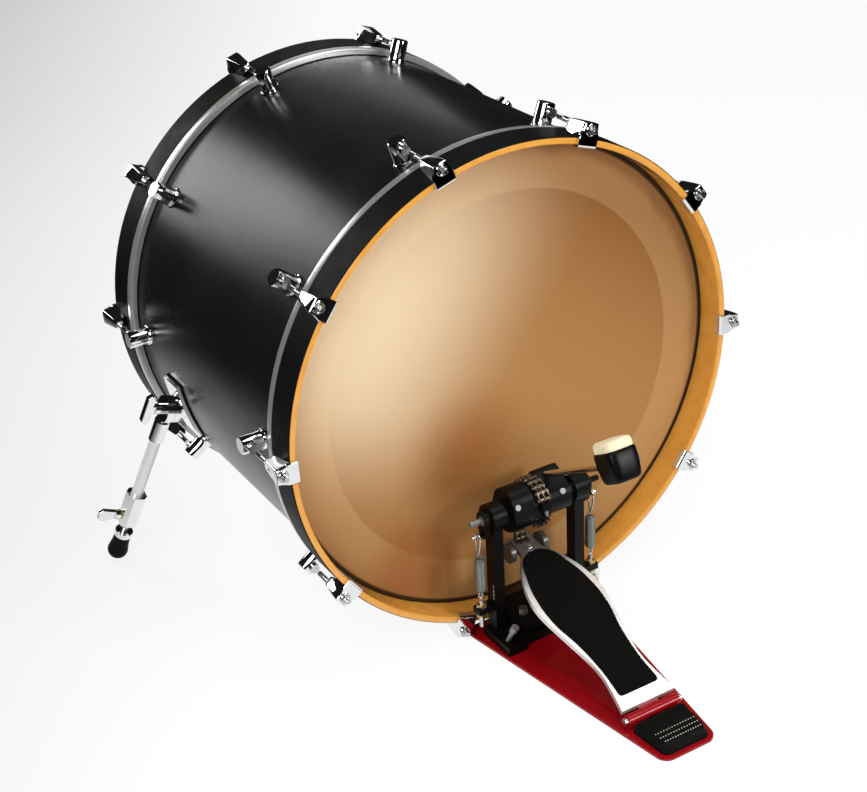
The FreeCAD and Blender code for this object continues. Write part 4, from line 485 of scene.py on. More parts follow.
# Claws: die-cast hooks over the wooden hoops, ten on each. A flat plate with a lip lies against the hoop's
# edge, and a hood with hollow flanks and a flat crest narrows from it to a rounded tail over the rod.
claw_base, claw_top_rise, claw_foot_rise = 0.2891, 0.0169, 0.0030
claw_half, claw_crest, claw_crest_round = 0.0125, 0.0086, 0.0014
claw_plate_low, claw_gauge, claw_ease = -0.0020, 0.0040, 0.0007
claw_lip_low, claw_lip_high, claw_lip_back = -0.0112, -0.0088, 0.0050
claw_seat_rise, claw_cup = 0.0094, 0.0068
hollow_across, hollow_up = 0.22, 0.36
cup_profile = ((0.0, 0.0035), (0.0, 0.0048), (0.0004, 0.0053), (0.0010, 0.0053), (0.0014, 0.0048),
               (0.0014, 0.0041))
claw_stations = (
    (-0.0010, 0.0124, 0.0086, 0.0169, 0.0), (0.0012, 0.0119, 0.0085, 0.0168, 0.0),
    (0.0045, 0.0110, 0.0082, 0.0166, 0.0), (0.0090, 0.0099, 0.0078, 0.0162, 0.0),
    (0.0135, 0.0090, 0.0073, 0.0157, 0.0), (0.0200, 0.0078, 0.0066, 0.0150, 0.0),
    (0.0270, 0.0067, 0.0058, 0.0142, 0.0010), (0.0310, 0.0060, 0.0051, 0.0136, 0.0028),
    (0.0324, 0.0054, 0.0045, 0.0130, 0.0036), (0.0330, 0.0043, 0.0034, 0.0120, 0.0046))


def flank(half, crest, rise, foot):
    """The upper outline of a claw from one foot to the other: hollow flanks and an eased flat crest."""
    ease = min(claw_crest_round, crest * 0.4)
    bend_across = crest + (half - crest) * hollow_across
    bend_up = foot + (rise - foot) * hollow_up
    side = []
    for step in range(9):
        share = step / 8
        near, middle, far = (1 - share) ** 2, 2 * share * (1 - share), share ** 2
        side.append((near * half + middle * bend_across + far * crest,
                     near * foot + middle * bend_up + far * (rise - ease)))
    for turn in (20, 45, 70, 90):
        side.append((crest - ease * (1 - math.cos(math.radians(turn))),
                     rise - ease * (1 - math.sin(math.radians(turn)))))
    return side + [(-across, up) for across, up in reversed(side)]


def skin_rings(shape, rings):
    """Faces between closed rings of points, in order, with flat ends."""
    made = [[shape.verts.new(point) for point in ring] for ring in rings]
    for low, high in zip(made, made[1:]):
        for index in range(len(low)):
            shape.faces.new((low[index - 1], low[index], high[index], high[index - 1])).smooth = True
    shape.faces.new(made[0])
    shape.faces.new(list(reversed(made[-1])))


def one_claw(shape):
    """A claw at the drum's right-hand side: x outwards from the hoop's rim, y along the drum, z across."""
    hood = []
    for along, half, crest, rise, foot in claw_stations:
        hood.append([(up, along, across) for across, up in flank(half, crest, rise, foot)])
    skin_rings(shape, hood)
    bend_high = claw_lip_low + claw_gauge
    plate = flank(claw_half, claw_crest, claw_top_rise, claw_foot_rise) + [
        (-claw_half, claw_plate_low), (-claw_half, bend_high),
        (claw_half, bend_high), (claw_half, claw_plate_low)]
    eased = [(across * (1 - claw_ease / claw_half), up - (claw_ease if up > 0 else 0.0))
             for across, up in plate]
    skin_rings(shape, [[(up, along, across) for across, up in outline] for outline, along in (
        (eased, -claw_gauge), (plate, claw_ease - claw_gauge), (plate, 0.0))])
    hook = [(bend_high - claw_gauge * math.sin(math.radians(turn)), -claw_gauge * math.cos(math.radians(turn)))
            for turn in range(0, 91, 10)]
    hook += [(claw_lip_low, claw_lip_back), (claw_lip_high, claw_lip_back),
             (claw_lip_high, 0.0), (bend_high, 0.0)]
    skin_rings(shape, [[(up, along, across) for up, along in hook]
                       for across in (claw_ease - claw_half, claw_half - claw_ease)])
    cup = []
    for inset, ahead in cup_profile:
        radius = claw_cup - inset
        cup.append([(claw_seat_rise + radius * math.cos(math.pi * step / 16), -ahead,
                     radius * math.sin(math.pi * step / 16)) for step in range(32)])
    skin_rings(shape, cup)


def round_the_drum(name, maker, base, finish):
    """Ten copies of what the maker makes, evenly round the drum at a base radius, and ten at its far end."""
    shape = bmesh.new()
    for index in range(10):
        single = bmesh.new()
        maker(single)
        turn = Matrix.Rotation(-2 * math.pi * index / 10, 4, "Y")
        front = Matrix.Translation(drum_centre + Vector((0, hoop_front, 0)))
        single.transform(front @ turn @ Matrix.Translation((base, 0, 0)))
        loose = bpy.data.meshes.new("single")
        single.to_mesh(loose)
        single.free()
        shape.from_mesh(loose)
        bpy.data.meshes.remove(loose)
    far = bmesh.ops.duplicate(shape, geom=list(shape.verts) + list(shape.edges) + list(shape.faces))
    for part in far["geom"]:
        if isinstance(part, bmesh.types.BMVert):
            part.co.y = 2 * drum_middle - part.co.y
    return mesh_of(name, shape, finish, 32)


hoop_claws = round_the_drum("hoop_claws", one_claw, claw_base, chrome)
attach(hoop_claws, "drum")
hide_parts("claws")


# Lugs: turned posts on the shell, a little drawn in towards a flat eased top. Two ball feet beside each post
# take the screws from inside the shell, and a flat on each carries the rod's nut.
lug_set_back, lug_base = 0.0810, 0.2794
lug_profile = ((0.0, 0.0118), (0.0010, 0.0119), (0.0020, 0.0116), (0.0032, 0.0109), (0.0052, 0.0104),
               (0.0100, 0.0103), (0.0266, 0.0101), (0.0274, 0.0098), (0.0279, 0.0091))
lug_flat_at, lug_flat_from = 0.0085, 0.0130
lug_ball, lug_ball_out, lug_ball_rise = 0.0034, 0.0098, 0.0012


def one_lug(shape):
    """A lug at the drum's right-hand side, in the same frame as the claw."""
    rings = []
    for rise, radius in lug_profile:
        ring = []
        for step in range(48):
            turn = 2 * math.pi * step / 48
            along = radius * math.cos(turn)
            if rise > lug_flat_from:
                along = max(along, -lug_flat_at)
            ring.append((rise, lug_set_back + along, radius * math.sin(turn)))
        rings.append(ring)
    skin_rings(shape, rings)
    for hand in (-1, 1):
        place = Matrix.Translation((lug_ball_rise, lug_set_back, hand * lug_ball_out))
        ball = bmesh.ops.create_uvsphere(shape, u_segments=20, v_segments=12, radius=lug_ball, matrix=place)
        for face in {face for vert in ball["verts"] for face in vert.link_faces}:
            face.smooth = True


shell_lugs = round_the_drum("shell_lugs", one_lug, lug_base, chrome)
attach(shell_lugs, "drum")
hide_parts("lugs")


# Nuts, pins and other bright screws: cut from steel bar and plated, a little duller than chrome.
# The thumb screw and the rotor's screws have a coarse knurl for the fingers.
plated_steel = finish_of("plated_steel", (0.74, 0.74, 0.73), (0.52, 0.52, 0.51), 0.16, 0.30, metal=1.0,
                         patch=120.0, grain=1500.0, bump=0.05)
coat_node(plated_steel, "lug_nuts", "left_leg_rod", "right_leg_rod", "hinge_pin")
knurled_steel = finish_of("knurled_steel", (0.46, 0.46, 0.44), (0.20, 0.20, 0.19), 0.34, 0.50, metal=0.8,
                          patch=900.0, grain=1400.0, bump=0.9)
coat_node(knurled_steel, "thumb_screw", "rotor_screws")


# Tension rods: plated rods through the claws into the lugs' nuts, each with a small collar and a square key
# head that stands in the claw's cup. The thread shows near the nut.
rod_rise = claw_base + claw_seat_rise - lug_base
rod_half, thread_depth, thread_start, thread_step = 0.0031, 0.0003, 0.0445, 0.0006
key_corner, round_corner = 5.0, 2.0
rod_profile = [(0.0024, -0.0118, key_corner), (0.0027, -0.0115, key_corner), (0.0027, -0.0062, key_corner),
               (0.0045, -0.0061, round_corner), (0.0047, -0.0057, round_corner),
               (0.0047, -0.0047, round_corner), (rod_half, -0.0045, round_corner),
               (rod_half, 0.0440, round_corner)]
for step in range(20):
    rod_profile.append((rod_half - thread_depth * (step % 2), thread_start + thread_step * step, round_corner))


def squared_ring(half, corner, steps):
    """Points of a ring about the origin: round for a corner power of 2, squarer above that."""
    ring = []
    for step in range(steps):
        turn = 2 * math.pi * step / steps
        ring.append([half * math.copysign(abs(way) ** (2 / corner), way)
                     for way in (math.cos(turn), math.sin(turn))])
    return ring


def one_rod(shape):
    """A tension rod at the drum's right-hand side, in the same frame as the claw."""
    skin_rings(shape, [[(rod_rise + out, along, across) for out, across in squared_ring(half, corner, 24)]
                       for half, along, corner in rod_profile])


key_rods = round_the_drum("key_rods", one_rod, lug_base, plated_steel)
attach(key_rods, "drum")
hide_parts("tension_rods")


# Axle's bearings, toe discs and the hoop clamp's bolt: bare steel gone dull, darker than the plated screws.
# The bearing in the right-hand post, and the axle there, are near black right of the beater.
dull_steel = finish_of("dull_steel", (0.30, 0.30, 0.28), (0.18, 0.18, 0.17), 0.46, 0.60, metal=0.8,
                       patch=140.0, grain=1500.0, bump=0.04)
dark_right_end = step_at(dull_steel, here_along(dull_steel.node_tree, "X"), 0.055, 0.058)
feed(dull_steel, "Base Color", mix_colours(dull_steel, dark_right_end, skin_part(dull_steel, "Color"),
                                           (0.004, 0.004, 0.004)))
coat_node(dull_steel, "axle_bearings")
dark_disc = finish_of("dark_disc", (0.13, 0.13, 0.12), (0.075, 0.075, 0.07), 0.28, 0.44, metal=0.6,
                      patch=140.0, grain=1500.0, bump=0.04)
coat_node(dark_disc, "toe_pins", "clamp_bolt")


# Axle: a six-sided bar through the hubs and posts, turned down to thin stubs outside the cranks. A small nut
# with a pointed end closes each crank's pin beyond the spring's link.
axle_line = Vector((0.0, -0.1124, 0.166))
pin_line = axle_line - Vector((0.0, 0.0, 0.018))
axle_end = ((0.0722, 0.0064), (0.0724, 0.0037), (0.0874, 0.0037), (0.0880, 0.0031))
nut_body = ((0.0797, 0.0033), (0.0826, 0.0033), (0.0830, 0.0028))
nut_tip = ((0.0828, 0.0020), (0.0846, 0.0020), (0.0858, 0.0010))


def bar_rings(line, profile, sides):
    """Rings of points round a line along x: how far along, and how far from the line to a corner."""
    corners = [2 * math.pi * side / sides for side in range(sides)]
    return [[line + Vector((along, reach * math.sin(turn), reach * math.cos(turn))) for turn in corners]
            for along, reach in profile]


axle_shape = bmesh.new()
axle_profile = [(-along, reach) for along, reach in reversed(axle_end)] + list(axle_end)
skin_rings(axle_shape, bar_rings(axle_line, axle_profile, 6))
axle_bar = mesh_of("axle_bar", axle_shape, dull_steel, 32)
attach(axle_bar, "rotor")
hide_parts("axle")
nut_shape = bmesh.new()
for hand in (-1, 1):
    for profile, sides in ((nut_body, 6), (nut_tip, 16)):
        skin_rings(nut_shape, bar_rings(pin_line, [(hand * along, reach) for along, reach in profile], sides))
crank_nuts = mesh_of("crank_nuts", nut_shape, plated_steel, 32)
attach(crank_nuts, "rotor")


# Spur legs: drawn tube with a satin finish, which the knuckles hold at the shell. Plain brass washers lie
# under the clamp screws, and the springs' tension nuts are brass too.
satin_tube = finish_of("satin_tube", (0.92, 0.94, 0.91), (0.82, 0.85, 0.82), 0.30, 0.42, metal=0.25,
                       patch=50.0, grain=900.0, bump=0.04)
coat_node(satin_tube, "left_leg_tube", "right_leg_tube")
plain_brass = finish_of("plain_brass", (0.66, 0.50, 0.26), (0.44, 0.32, 0.15), 0.22, 0.42, metal=1.0,
                        patch=200.0, grain=1200.0, bump=0.05)
coat_node(plain_brass, "left_clamp_washer", "right_clamp_washer", "tension_nuts")


# Spur feet and gaskets: matt black rubber. The gaskets lie between the spur brackets and the shell; each foot
# is moulded with a short neck and a round end, and pressed on the rod below the collar.
black_rubber = finish_of("black_rubber", (0.0050, 0.0050, 0.0046), (0.0030, 0.0030, 0.0028), 0.50, 0.72,
                         patch=90.0, grain=1600.0, bump=0.18, specular=0.10)
coat_node(black_rubber, "spur_gaskets")


def turned(name, profile, base, axis, finish, corner=2.0, steps=64):
    """A body of revolution from (half width, height) points on an axis; a corner power above 2 squares it."""
    shape = bmesh.new()
    rings = []
    for half, height in profile:
        points = squared_ring(half, corner, steps) if half else [(0, 0)]
        rings.append([shape.verts.new((across, along, height)) for across, along in points])
    for low, high in zip(rings, rings[1:]):
        for step in range(steps):
            after = (step + 1) % steps
            corners = [low[step % len(low)], low[after % len(low)],
                       high[after % len(high)], high[step % len(high)]]
            kept = [vert for index, vert in enumerate(corners) if vert not in corners[:index]]
            if len(kept) > 2:
                shape.faces.new(kept).smooth = True
    upward = Vector(axis).normalized()
    side = Vector((1, 0, 0))
    side = (side - upward * side.dot(upward)).normalized()
    turn = Matrix((side, upward.cross(side), upward)).transposed().to_4x4()
    shape.transform(Matrix.Translation(base) @ turn)
    return mesh_of(name, shape, finish, 180)


leg_reach = 0.24547
foot_length, foot_round = 0.038, 0.013
foot_profile = [(0, 0), (0.0096, 0), (0.0105, 0.0008), (0.0105, 0.006), (0.0109, 0.012), (0.0118, 0.018)]
for degrees in range(90, 0, -10):
    turn = math.radians(degrees)
    foot_profile.append((foot_round * math.sin(turn), foot_length - foot_round * (1 - math.cos(turn))))
foot_profile.append((0, foot_length))
for side, hand in (("left", -1), ("right", 1)):
    leg_way = Vector((hand * 0.28916, 0.29237, -0.91154))
    knuckle = Vector((hand * 0.29196, 0.24200, 0.22491))
    foot_top = knuckle + leg_way * (leg_reach - foot_length)
    foot = turned(f"{side}_rubber_foot", foot_profile, foot_top, leg_way, black_rubber, steps=48)
    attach(foot, f"{side}_rod")
    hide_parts(f"{side}_spur_foot")


# Pedal plate: steel pressed with ribs and enamelled a glossy deep red. It lies on the floor and carries the
# posts in front; the footboard's hinge, behind, has the same enamel.
red_enamel = finish_of("red_enamel", (0.34, 0.003, 0.008), (0.28, 0.002, 0.006), 0.20, 0.30, patch=25.0,
                       grain=600.0, bump=0.02, coat=0.12, specular=0.2)
coat_node(red_enamel, "base_plate", "footboard_hinge")


# Heel pad: a moulded rubber block behind the hinge, drawn in towards its top, with ribs across it and
# rows of small bright studs between the ribs. It is glued to the red plate.
pad_low, pad_foot, pad_high = 0.003, 0.005, 0.0148
pad_front, pad_back, pad_rear_part = -0.3402, -0.3908, -0.37
pad_front_half, pad_back_half = 0.0340, 0.0300
pad_draw, pad_front_draw = 0.0035, 0.3
pad_edge_round, pad_rim_round = 0.007, 0.0012
rib_rows = (-0.3462, -0.3518, -0.3640, -0.3712, -0.3782)
rib_half, rib_rise, rib_round = 0.0013, 0.0012, 0.0006
rib_back_reach, rib_spread = 0.0270, 0.0040
heel = bmesh.new()
rims = []
for height, inset in ((pad_low, 0.0), (pad_foot, 0.0), (pad_high, pad_draw)):
    front_half, front = pad_front_half - inset, pad_front - inset * pad_front_draw
    back_half, back = pad_back_half - inset, pad_back + inset
    rims.append([heel.verts.new(place) for place in (
        (-front_half, front, height), (front_half, front, height),
        (back_half, back, height), (-back_half, back, height))])
for low, high in zip(rims, rims[1:]):
    for index in range(4):
        heel.faces.new((low[index], low[index - 3], high[index - 3], high[index]))
heel.faces.new(rims[-1])
heel.faces.new(reversed(rims[0]))
bmesh.ops.recalc_face_normals(heel, faces=heel.faces)
upright = [edge for edge in heel.edges
           if abs(edge.verts[0].co.z - edge.verts[1].co.z) > 0.001 and edge.verts[0].co.y < pad_rear_part]
bmesh.ops.bevel(heel, geom=upright, offset=pad_edge_round, segments=6, affect="EDGES", profile=0.5)
top_rim = [edge for edge in heel.edges if all(abs(vert.co.z - pad_high) < 1e-6 for vert in edge.verts)]
bmesh.ops.bevel(heel, geom=top_rim, offset=pad_rim_round, segments=3, affect="EDGES", profile=0.5)
for row in rib_rows:
    reach = rib_back_reach + rib_spread * (row - pad_back) / (pad_front - pad_back)
    size = Matrix.Diagonal((2 * reach, 2 * rib_half, 2 * rib_rise, 1.0))
    bar = bmesh.ops.create_cube(heel, size=1.0, matrix=Matrix.Translation((0, row, pad_high)) @ size)
    bar_edges = list({edge for vert in bar["verts"] for edge in vert.link_edges})
    bmesh.ops.bevel(heel, geom=bar_edges, offset=rib_round, segments=2, affect="EDGES", profile=0.5)
for face in heel.faces:
    face.smooth = True
heel_block = mesh_of("heel_block", heel, black_rubber)
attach(heel_block, "drum")
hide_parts("heel_pad")

# A pale finish for the studs.
stud_finish = finish_of("pale_stud", (0.62, 0.60, 0.54), (0.40, 0.39, 0.35), 0.30, 0.45, patch=300.0,
                        grain=1500.0, bump=0.05)
stud_round, stud_rise = 0.00085, pad_high - 0.0001
studs = bmesh.new()
for row, reach in ((-0.3675, 0.0255), (-0.3748, 0.0245), (-0.3818, 0.0235)):
    for index in range(15):
        place = Matrix.Translation((reach * (index / 7 - 1), row, stud_rise))
        bmesh.ops.create_icosphere(studs, subdivisions=2, radius=stud_round, matrix=place)
for face in studs.faces:
    face.smooth = True
heel_studs = mesh_of("heel_studs", studs, stud_finish, 180)
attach(heel_studs, "drum")


# Pedal castings: posts, bridge, jaw, hubs, sprocket and cranks, cast and painted satin black.
# The posts stand on the red plate, the jaw takes hold of the hoop, and the rest turns with the axle.
black_casting = finish_of("black_casting", (0.0036, 0.0036, 0.0034), (0.0022, 0.0022, 0.0021), 0.34, 0.48,
                          patch=70.0, grain=1100.0, bump=0.16, specular=0.12)
coat_node(black_casting, "left_post", "right_post", "frame_bridge", "clamp_jaw", "rocker_hub", "beater_hub",
          "sprocket", "cranks")


# Post numbers: a column of four small white figures on the left post's outer face, which mark the
# spring's setting. They are printed on the paint.
print_white = finish_of("print_white", (0.80, 0.80, 0.78), (0.70, 0.70, 0.68), 0.40, 0.55, patch=200.0,
                        grain=1200.0, bump=0.02)
figure_heights = (0.0752, 0.0697, 0.0642, 0.0587)
figure_face, figure_line = -0.06254, -0.1166


def mesh_from(curve):
    """The mesh of a curve or a text, with the thickness that it has been given."""
    maker = put_in_scene(f"{curve.name}_maker", curve)
    bpy.context.view_layer.update()
    mesh = bpy.data.meshes.new_from_object(maker.evaluated_get(bpy.context.evaluated_depsgraph_get()))
    bpy.data.objects.remove(maker)
    mesh.materials.clear()
    return mesh


for figure, height in enumerate(figure_heights, start=1):
    text = bpy.data.curves.new(f"figure_{figure}", "FONT")
    text.body = str(figure)
    text.size = 0.0052
    text.extrude = 0.00005
    text.align_x = "CENTER"
    text.align_y = "CENTER"
    mesh = mesh_from(text)
    mesh.transform(Matrix(((0, 0, -1, figure_face), (-1, 0, 0, figure_line), (0, 1, 0, height), (0, 0, 0, 1))))
    mesh.materials.append(print_white)
    printed = put_in_scene(f"post_figure_{figure}", mesh)
    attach(printed, "drum")


# Footboard: cast aluminium with a polished border round its black pad. Towards the toe it narrows to a neck
# that is left as it was cast, darker and rougher. It turns on the hinge's pin.
polished_casting = finish_of("polished_casting", (0.80, 0.80, 0.78), (0.74, 0.74, 0.72), 0.20, 0.26, metal=0.6,
                             patch=40.0, grain=900.0, bump=0.004)
neck_tone, neck_roughness = (0.17, 0.165, 0.15), 0.26
raw_neck = step_at(polished_casting, here_along(polished_casting.node_tree, "Y"), -0.165, -0.115)
feed(polished_casting, "Base Color", mix_colours(polished_casting, raw_neck,
                                                 skin_part(polished_casting, "Color"), neck_tone))
feed(polished_casting, "Roughness", sum_of(polished_casting.node_tree, "MULTIPLY_ADD", raw_neck, neck_roughness,
                                           skin_part(polished_casting, "Roughness")))
coat_node(polished_casting, "footboard")


# Footboard pad: a thin black grip sheet let into the footboard, wide under the ball of the foot and
# drawn in behind it, with softly rounded edges. It is glued in its recess.
hinge_place = Vector((0.0, -0.3294, 0.0106))
board_turn = math.radians(18.79)
board_frame = Matrix.Translation(hinge_place) @ Matrix.Rotation(board_turn, 4, "X")
sheet_heel, sheet_toe, sheet_widest = 0.026, 0.2349, 0.0445
sheet_corner, sheet_rise = 0.0032, 0.0073
sheet_ways = (0, 0.18, 0.37, 0.53, 0.70, 0.86, 1)
sheet_shares = (0.58, 0.56, 0.65, 0.81, 0.82, 0.66, 0.30)
right_side = [(share * sheet_widest, sheet_heel + way * (sheet_toe - sheet_heel))
              for way, share in zip(sheet_ways, sheet_shares)]
heel_half = right_side[0][0]
right_side[0] = (heel_half, sheet_heel + sheet_corner)
right_side.insert(0, (heel_half - sheet_corner, sheet_heel))
outline = right_side + [(-across, along) for across, along in reversed(right_side)]
grip = bpy.data.curves.new("grip_sheet", "CURVE")
grip.dimensions = "2D"
grip.fill_mode = "BOTH"
grip.resolution_u = 10
grip.extrude = 0.0006
grip.bevel_depth = 0.0004
grip.bevel_resolution = 2
rim = grip.splines.new("BEZIER")
rim.bezier_points.add(len(outline) - 1)
rim.use_cyclic_u = True
for point, (across, along) in zip(rim.bezier_points, outline):
    point.co = (across, along, 0.0)
    point.handle_left_type = "AUTO"
    point.handle_right_type = "AUTO"
for index in (0, 1, -2, -1):
    rim.bezier_points[index].handle_left_type = "VECTOR"
    rim.bezier_points[index].handle_right_type = "VECTOR"
grip_mesh = mesh_from(grip)
grip_mesh.transform(board_frame @ Matrix.Translation((0, 0, sheet_rise)))
grip_paper = finish_of("grip_paper", (0.0045, 0.0044, 0.0036), (0.0028, 0.0028, 0.0023), 0.78, 0.90,
                       patch=60.0, grain=2600.0, bump=0.35, specular=0.07)
grip_mesh.materials.append(grip_paper)
grip_sheet = put_in_scene("grip_sheet", grip_mesh)
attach(grip_sheet, "board")
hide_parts("footboard_pad")


# Toe screw: a plated screw with a square head, in a shallow round seat that is cast in the board's neck.
# It holds the chain's end.
toe_axis = board_frame.to_3x3() @ Vector((0, 0, 1))
toe_spot = board_frame @ Vector((-0.001, 0.2446, 0.0074))
seat_profile = [(0, 0.0003), (0.0036, 0.0003), (0.0052, 0.0005), (0.0058, 0.0010), (0.0064, 0.0010),
                (0.0067, 0.0)]
toe_seat = turned("toe_seat", seat_profile, toe_spot, toe_axis, polished_casting, steps=40)
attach(toe_seat, "board")
screw_profile = [(0, 0.0022), (0.0022, 0.0022), (0.0026, 0.0019), (0.0027, 0.0)]
toe_screw = turned("toe_screw", screw_profile, toe_spot, toe_axis, plated_steel, corner=9.0, steps=40)
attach(toe_screw, "board")


# Chain: two rows of dark oiled steel plates and rollers on bright riveted pins. It lies round the sprocket,
# hangs straight down to the toe, and its last pin sits in the footboard's neck. In the hanging strand the pins
# are given the dark plates' finish instead: painted shade where the hub's shadow falls.
oiled_steel = finish_of("oiled_steel", (0.24, 0.19, 0.13), (0.07, 0.058, 0.042), 0.24, 0.40, metal=0.9,
                        patch=300.0, grain=1800.0, bump=0.06)
pin_steel = finish_of("pin_steel", (0.78, 0.68, 0.50), (0.56, 0.48, 0.35), 0.20, 0.32, metal=0.7,
                      patch=300.0, grain=1800.0, bump=0.04)
sprocket_place = Vector((-0.003, -0.1124, 0.166))
sprocket_teeth = 22
chain_pitch = 0.008
pitch_radius = chain_pitch / (2 * math.sin(math.pi / sprocket_teeth))
wrap_links, drop_links = 9, 9
leave_link = wrap_links + 2
plate_gauge, plate_end, plate_waist = 0.0011, 0.0031, 0.0021
inner_rows, outer_rows = (-0.0053, -0.0015, 0.0015, 0.0053), (-0.0068, 0.0, 0.0068)
rollers_and_pin = ((-0.0034, 0.0048, 0.0024), (0.0034, 0.0048, 0.0024), (0.0, 0.0162, 0.0013))
stations = []
for index in range(wrap_links, 0, -1):
    turn = 2 * math.pi * index / sprocket_teeth
    stations.append(sprocket_place + Vector((0, pitch_radius * math.cos(turn), pitch_radius * math.sin(turn))))
for index in range(drop_links + 1):
    stations.append(sprocket_place + Vector((0, pitch_radius, -index * chain_pitch)))


def chain_links(name, first, last, pins):
    """Plates, rollers and riveted pins of the links from one station to another, in two rows."""
    shape = bmesh.new()
    right = Vector((1, 0, 0))
    for index in range(first, last):
        early, late = stations[index], stations[index + 1]
        way = (late - early).normalized()
        side = right.cross(way)
        rim = []
        for centre, sense in ((early, -1), (late, 1)):
            for step in range(9):
                turn = math.radians(-110 + 27.5 * step)
                rim.append(centre + (way * math.cos(turn) + side * math.sin(turn)) * (sense * plate_end))
            rim.append((early + late) / 2 + side * (sense * plate_waist))
        for middle in inner_rows if index % 2 else outer_rows:
            near, far = ([shape.verts.new(point + right * (middle + half)) for point in rim]
                         for half in (-plate_gauge / 2, plate_gauge / 2))
            shape.faces.new(far)
            shape.faces.new(reversed(near))
            for step in range(len(rim)):
                shape.faces.new((near[step - 1], near[step], far[step], far[step - 1]))
    lying = Matrix.Rotation(math.pi / 2, 4, "Y")
    for station in stations[first:last + 1]:
        for middle, length, radius in rollers_and_pin:
            place = Matrix.Translation(station + right * middle) @ lying
            rod = bmesh.ops.create_cone(shape, cap_ends=True, segments=14, radius1=radius, radius2=radius,
                                        depth=length, matrix=place)
            for face in {face for vert in rod["verts"] for face in vert.link_faces}:
                face.material_index = 1 if middle == 0 else 0
    links = mesh_of(name, shape, oiled_steel, 0)
    links.data.materials.append(pins)
    return links


chain_wrap = chain_links("chain_wrap", 0, leave_link, pin_steel)
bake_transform(chain_wrap)
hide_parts("chain")
# The hanging strand's pins take the dark plate finish: painted shade in the hub's shadow.
chain_strand = chain_links("chain_strand", leave_link, wrap_links + drop_links, oiled_steel)
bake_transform(chain_strand)


# Return springs: close-wound wire with dull zinc plate, one at each end of the axle. Each hooks into the
# wire link above it and into the eye bolt below it.
dull_zinc = finish_of("dull_zinc", (0.30, 0.32, 0.29), (0.20, 0.22, 0.19), 0.34, 0.50, metal=0.7,
                      patch=160.0, grain=1500.0, bump=0.06)


def wire_form(name, routes, gauge, finish):
    """Round wire bent along each route, as one mesh."""
    bent = bpy.data.curves.new(name, "CURVE")
    bent.dimensions = "3D"
    bent.bevel_depth = gauge / 2
    bent.bevel_resolution = 2
    bent.use_fill_caps = True
    for route, closed in routes:
        spline = bent.splines.new("POLY")
        spline.points.add(len(route) - 1)
        for point, place in zip(spline.points, route):
            point.co = (*place, 1.0)
        spline.use_cyclic_u = closed
        spline.use_smooth = True
    mesh = mesh_from(bent)
    mesh.materials.append(finish)
    return put_in_scene(name, mesh)


spring_places = ((-0.077, -0.1124), (0.077, -0.1124))
spring_turns, turn_steps = 25, 20
spring_low, spring_high = 0.0742, 0.1176
spring_gauge, spring_coil, spring_end, spring_swell = 0.0017, 0.0055, 0.0030, 2.2
tail_length, tail_drop, tail_hook = 0.0165, 0.0048, 0.0024
top_loop_half, top_loop_low, top_loop_rise = 0.0024 * 0.95, 0.0012, 0.0032
windings = []
for across, along in spring_places:
    route = []
    for step in range(5):
        route.append((across, along, spring_low - tail_drop - tail_length * (1 - step / 4)))
    for step in range(1, 12):
        turn = math.pi * 1.5 * step / 11
        route.append((across, along + tail_hook * math.sin(turn),
                      spring_low - tail_drop + tail_hook * (1 - math.cos(turn))))
    total = spring_turns * turn_steps
    for step in range(total + 1):
        from_end = min(step, total - step) / turn_steps
        swell = min(1.0, from_end / spring_swell)
        coil = spring_end + (spring_coil - spring_end) * swell * (2 - swell)
        turn = 2 * math.pi * step / turn_steps
        route.append((across + coil * math.cos(turn), along + coil * math.sin(turn),
                      spring_low + (spring_high - spring_low) * step / total))
    for step in range(17):
        turn = 2 * math.pi * step / 16
        route.append((across + top_loop_half * math.sin(turn), along,
                      spring_high + top_loop_low + top_loop_rise * (1 - math.cos(turn))))
    windings.append((route, False))
return_springs = wire_form("return_springs", windings, spring_gauge, dull_zinc)
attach(return_springs, "links")
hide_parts("springs")


# Spring links: a closed loop of plated wire on each crank's pin, bent wide round the pin and drawn in to a
# small eye that the spring hooks into.
link_gauge, link_out = 0.0022, 0.0011
link_middle, link_half_height = 0.1372, 0.0143
link_narrow, link_wide = 0.0021, 0.0072
link_routes = []
for across, along in spring_places:
    loop = []
    for step in range(40):
        turn = 2 * math.pi * step / 40
        share = (1 + math.cos(turn)) / 2
        width = link_narrow + (link_wide - link_narrow) * share ** 1.1
        loop.append((across + math.copysign(link_out, across), along + width * math.sin(turn),
                     link_middle + link_half_height * math.cos(turn)))
    link_routes.append((loop, True))
wire_links = wire_form("wire_links", link_routes, link_gauge, plated_steel)
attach(wire_links, "links")
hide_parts("spring_links")


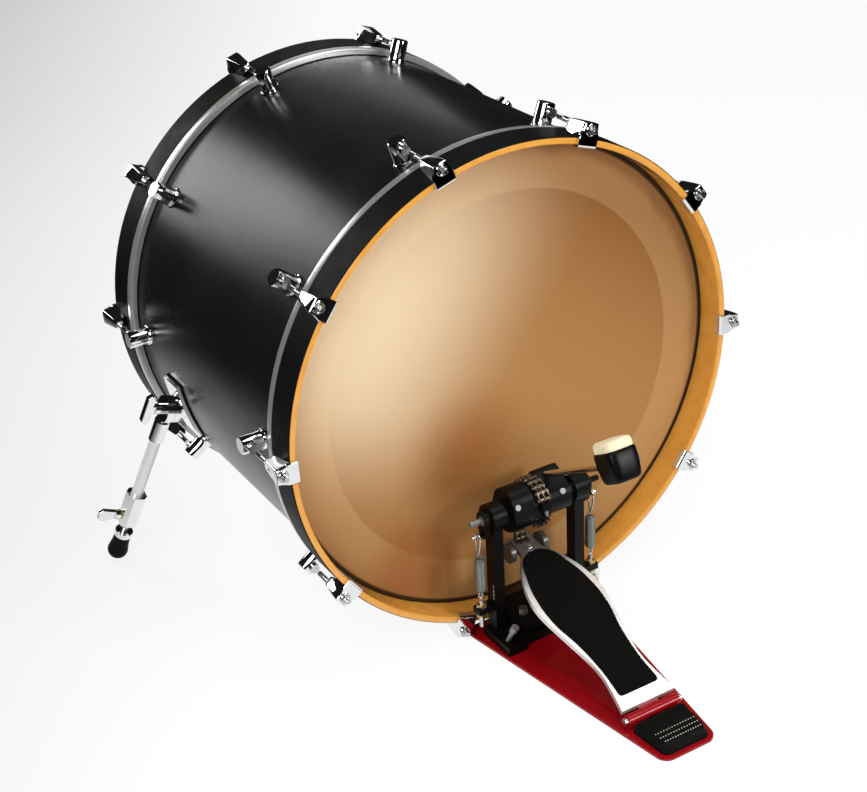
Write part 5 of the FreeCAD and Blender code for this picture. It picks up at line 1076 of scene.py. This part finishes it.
# Tension screws: plated eye bolts through the posts' arms, each held by two brass nuts, with a rolled thread
# and a plain lower end. The spring's tail hooks into the eye on top.
bolt_thread, thread_height, thread_foot, thread_rise = 0.0029, 0.0002, 0.0250, 0.0008
eye_gauge, eye_half, eye_middle, eye_rise = 0.0020, 0.0028, 0.0675, 0.0034
bolt_profile = [(0, 0.024), (0.0022, 0.024), (0.0028, 0.0246)]
for step in range(44):
    bolt_profile.append((bolt_thread + (thread_height if step % 2 else -thread_height),
                         thread_foot + thread_rise * step))
bolt_profile += [(0.0026, 0.0610), (0.0017, 0.0630), (0.0015, 0.0650), (0, 0.0652)]
eye_routes = []
for side, (across, along) in zip(("left", "right"), spring_places):
    bolt = turned(f"{side}_eye_bolt", bolt_profile, (across, along, 0), (0, 0, 1), plated_steel, steps=24)
    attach(bolt, "drum")
    if side == "left":
        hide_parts("tension_screws")
    turns = [2 * math.pi * step / 24 for step in range(24)]
    eye = [(across + eye_half * math.sin(turn), along, eye_middle - eye_rise * math.cos(turn))
           for turn in turns]
    eye_routes.append((eye, True))
bolt_eyes = wire_form("bolt_eyes", eye_routes, eye_gauge, plated_steel)
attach(bolt_eyes, "drum")


# Beater: a squared head moulded in black plastic on the end of the chrome shaft, a little drawn in at the
# back. A pad of cream felt is glued on its striking side.
moulded_black = finish_of("moulded_black", (0.0036, 0.0036, 0.0034), (0.0024, 0.0024, 0.0023), 0.28, 0.38,
                          patch=40.0, grain=900.0, bump=0.03, specular=0.13)
beater_lean = math.radians(60)
shaft_foot = Vector((0.018, -0.1124, 0.166))
shaft_offset, shaft_reach = 0.025, 0.167
strike_way = Vector((0.0, math.cos(beater_lean), math.sin(beater_lean)))
shaft_way = Vector((0.0, -math.sin(beater_lean), math.cos(beater_lean)))
beater_place = shaft_foot + strike_way * shaft_offset + shaft_way * shaft_reach
head_profile = [(0, -0.0180), (0.0120, -0.0180), (0.0148, -0.0174), (0.0166, -0.0158), (0.0175, -0.0132),
                (0.0184, -0.0070), (0.0191, 0.0), (0.0193, 0.0060), (0.0192, 0.0130), (0.0187, 0.0156),
                (0.0178, 0.0168), (0.0165, 0.0170), (0, 0.0170)]
beater_block = turned("beater_block", head_profile, beater_place, strike_way, moulded_black, corner=4.5,
                      steps=96)
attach(beater_block, "beater")
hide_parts("beater_head")
cream_felt = finish_of("cream_felt", (0.90, 0.83, 0.60), (0.78, 0.68, 0.44), 0.85, 0.95, patch=160.0,
                       grain=2200.0, bump=0.5)
felt_profile = [(0, 0.0165), (0.0172, 0.0165), (0.0179, 0.0172), (0.0180, 0.0200), (0.0178, 0.0240),
                (0.0172, 0.0262), (0.0160, 0.0276), (0.0140, 0.0282), (0.0090, 0.0285), (0, 0.0286)]
felt_face = turned("felt_face", felt_profile, beater_place, strike_way, cream_felt, corner=4.0, steps=96)
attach(felt_face, "beater")
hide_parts("beater_felt")
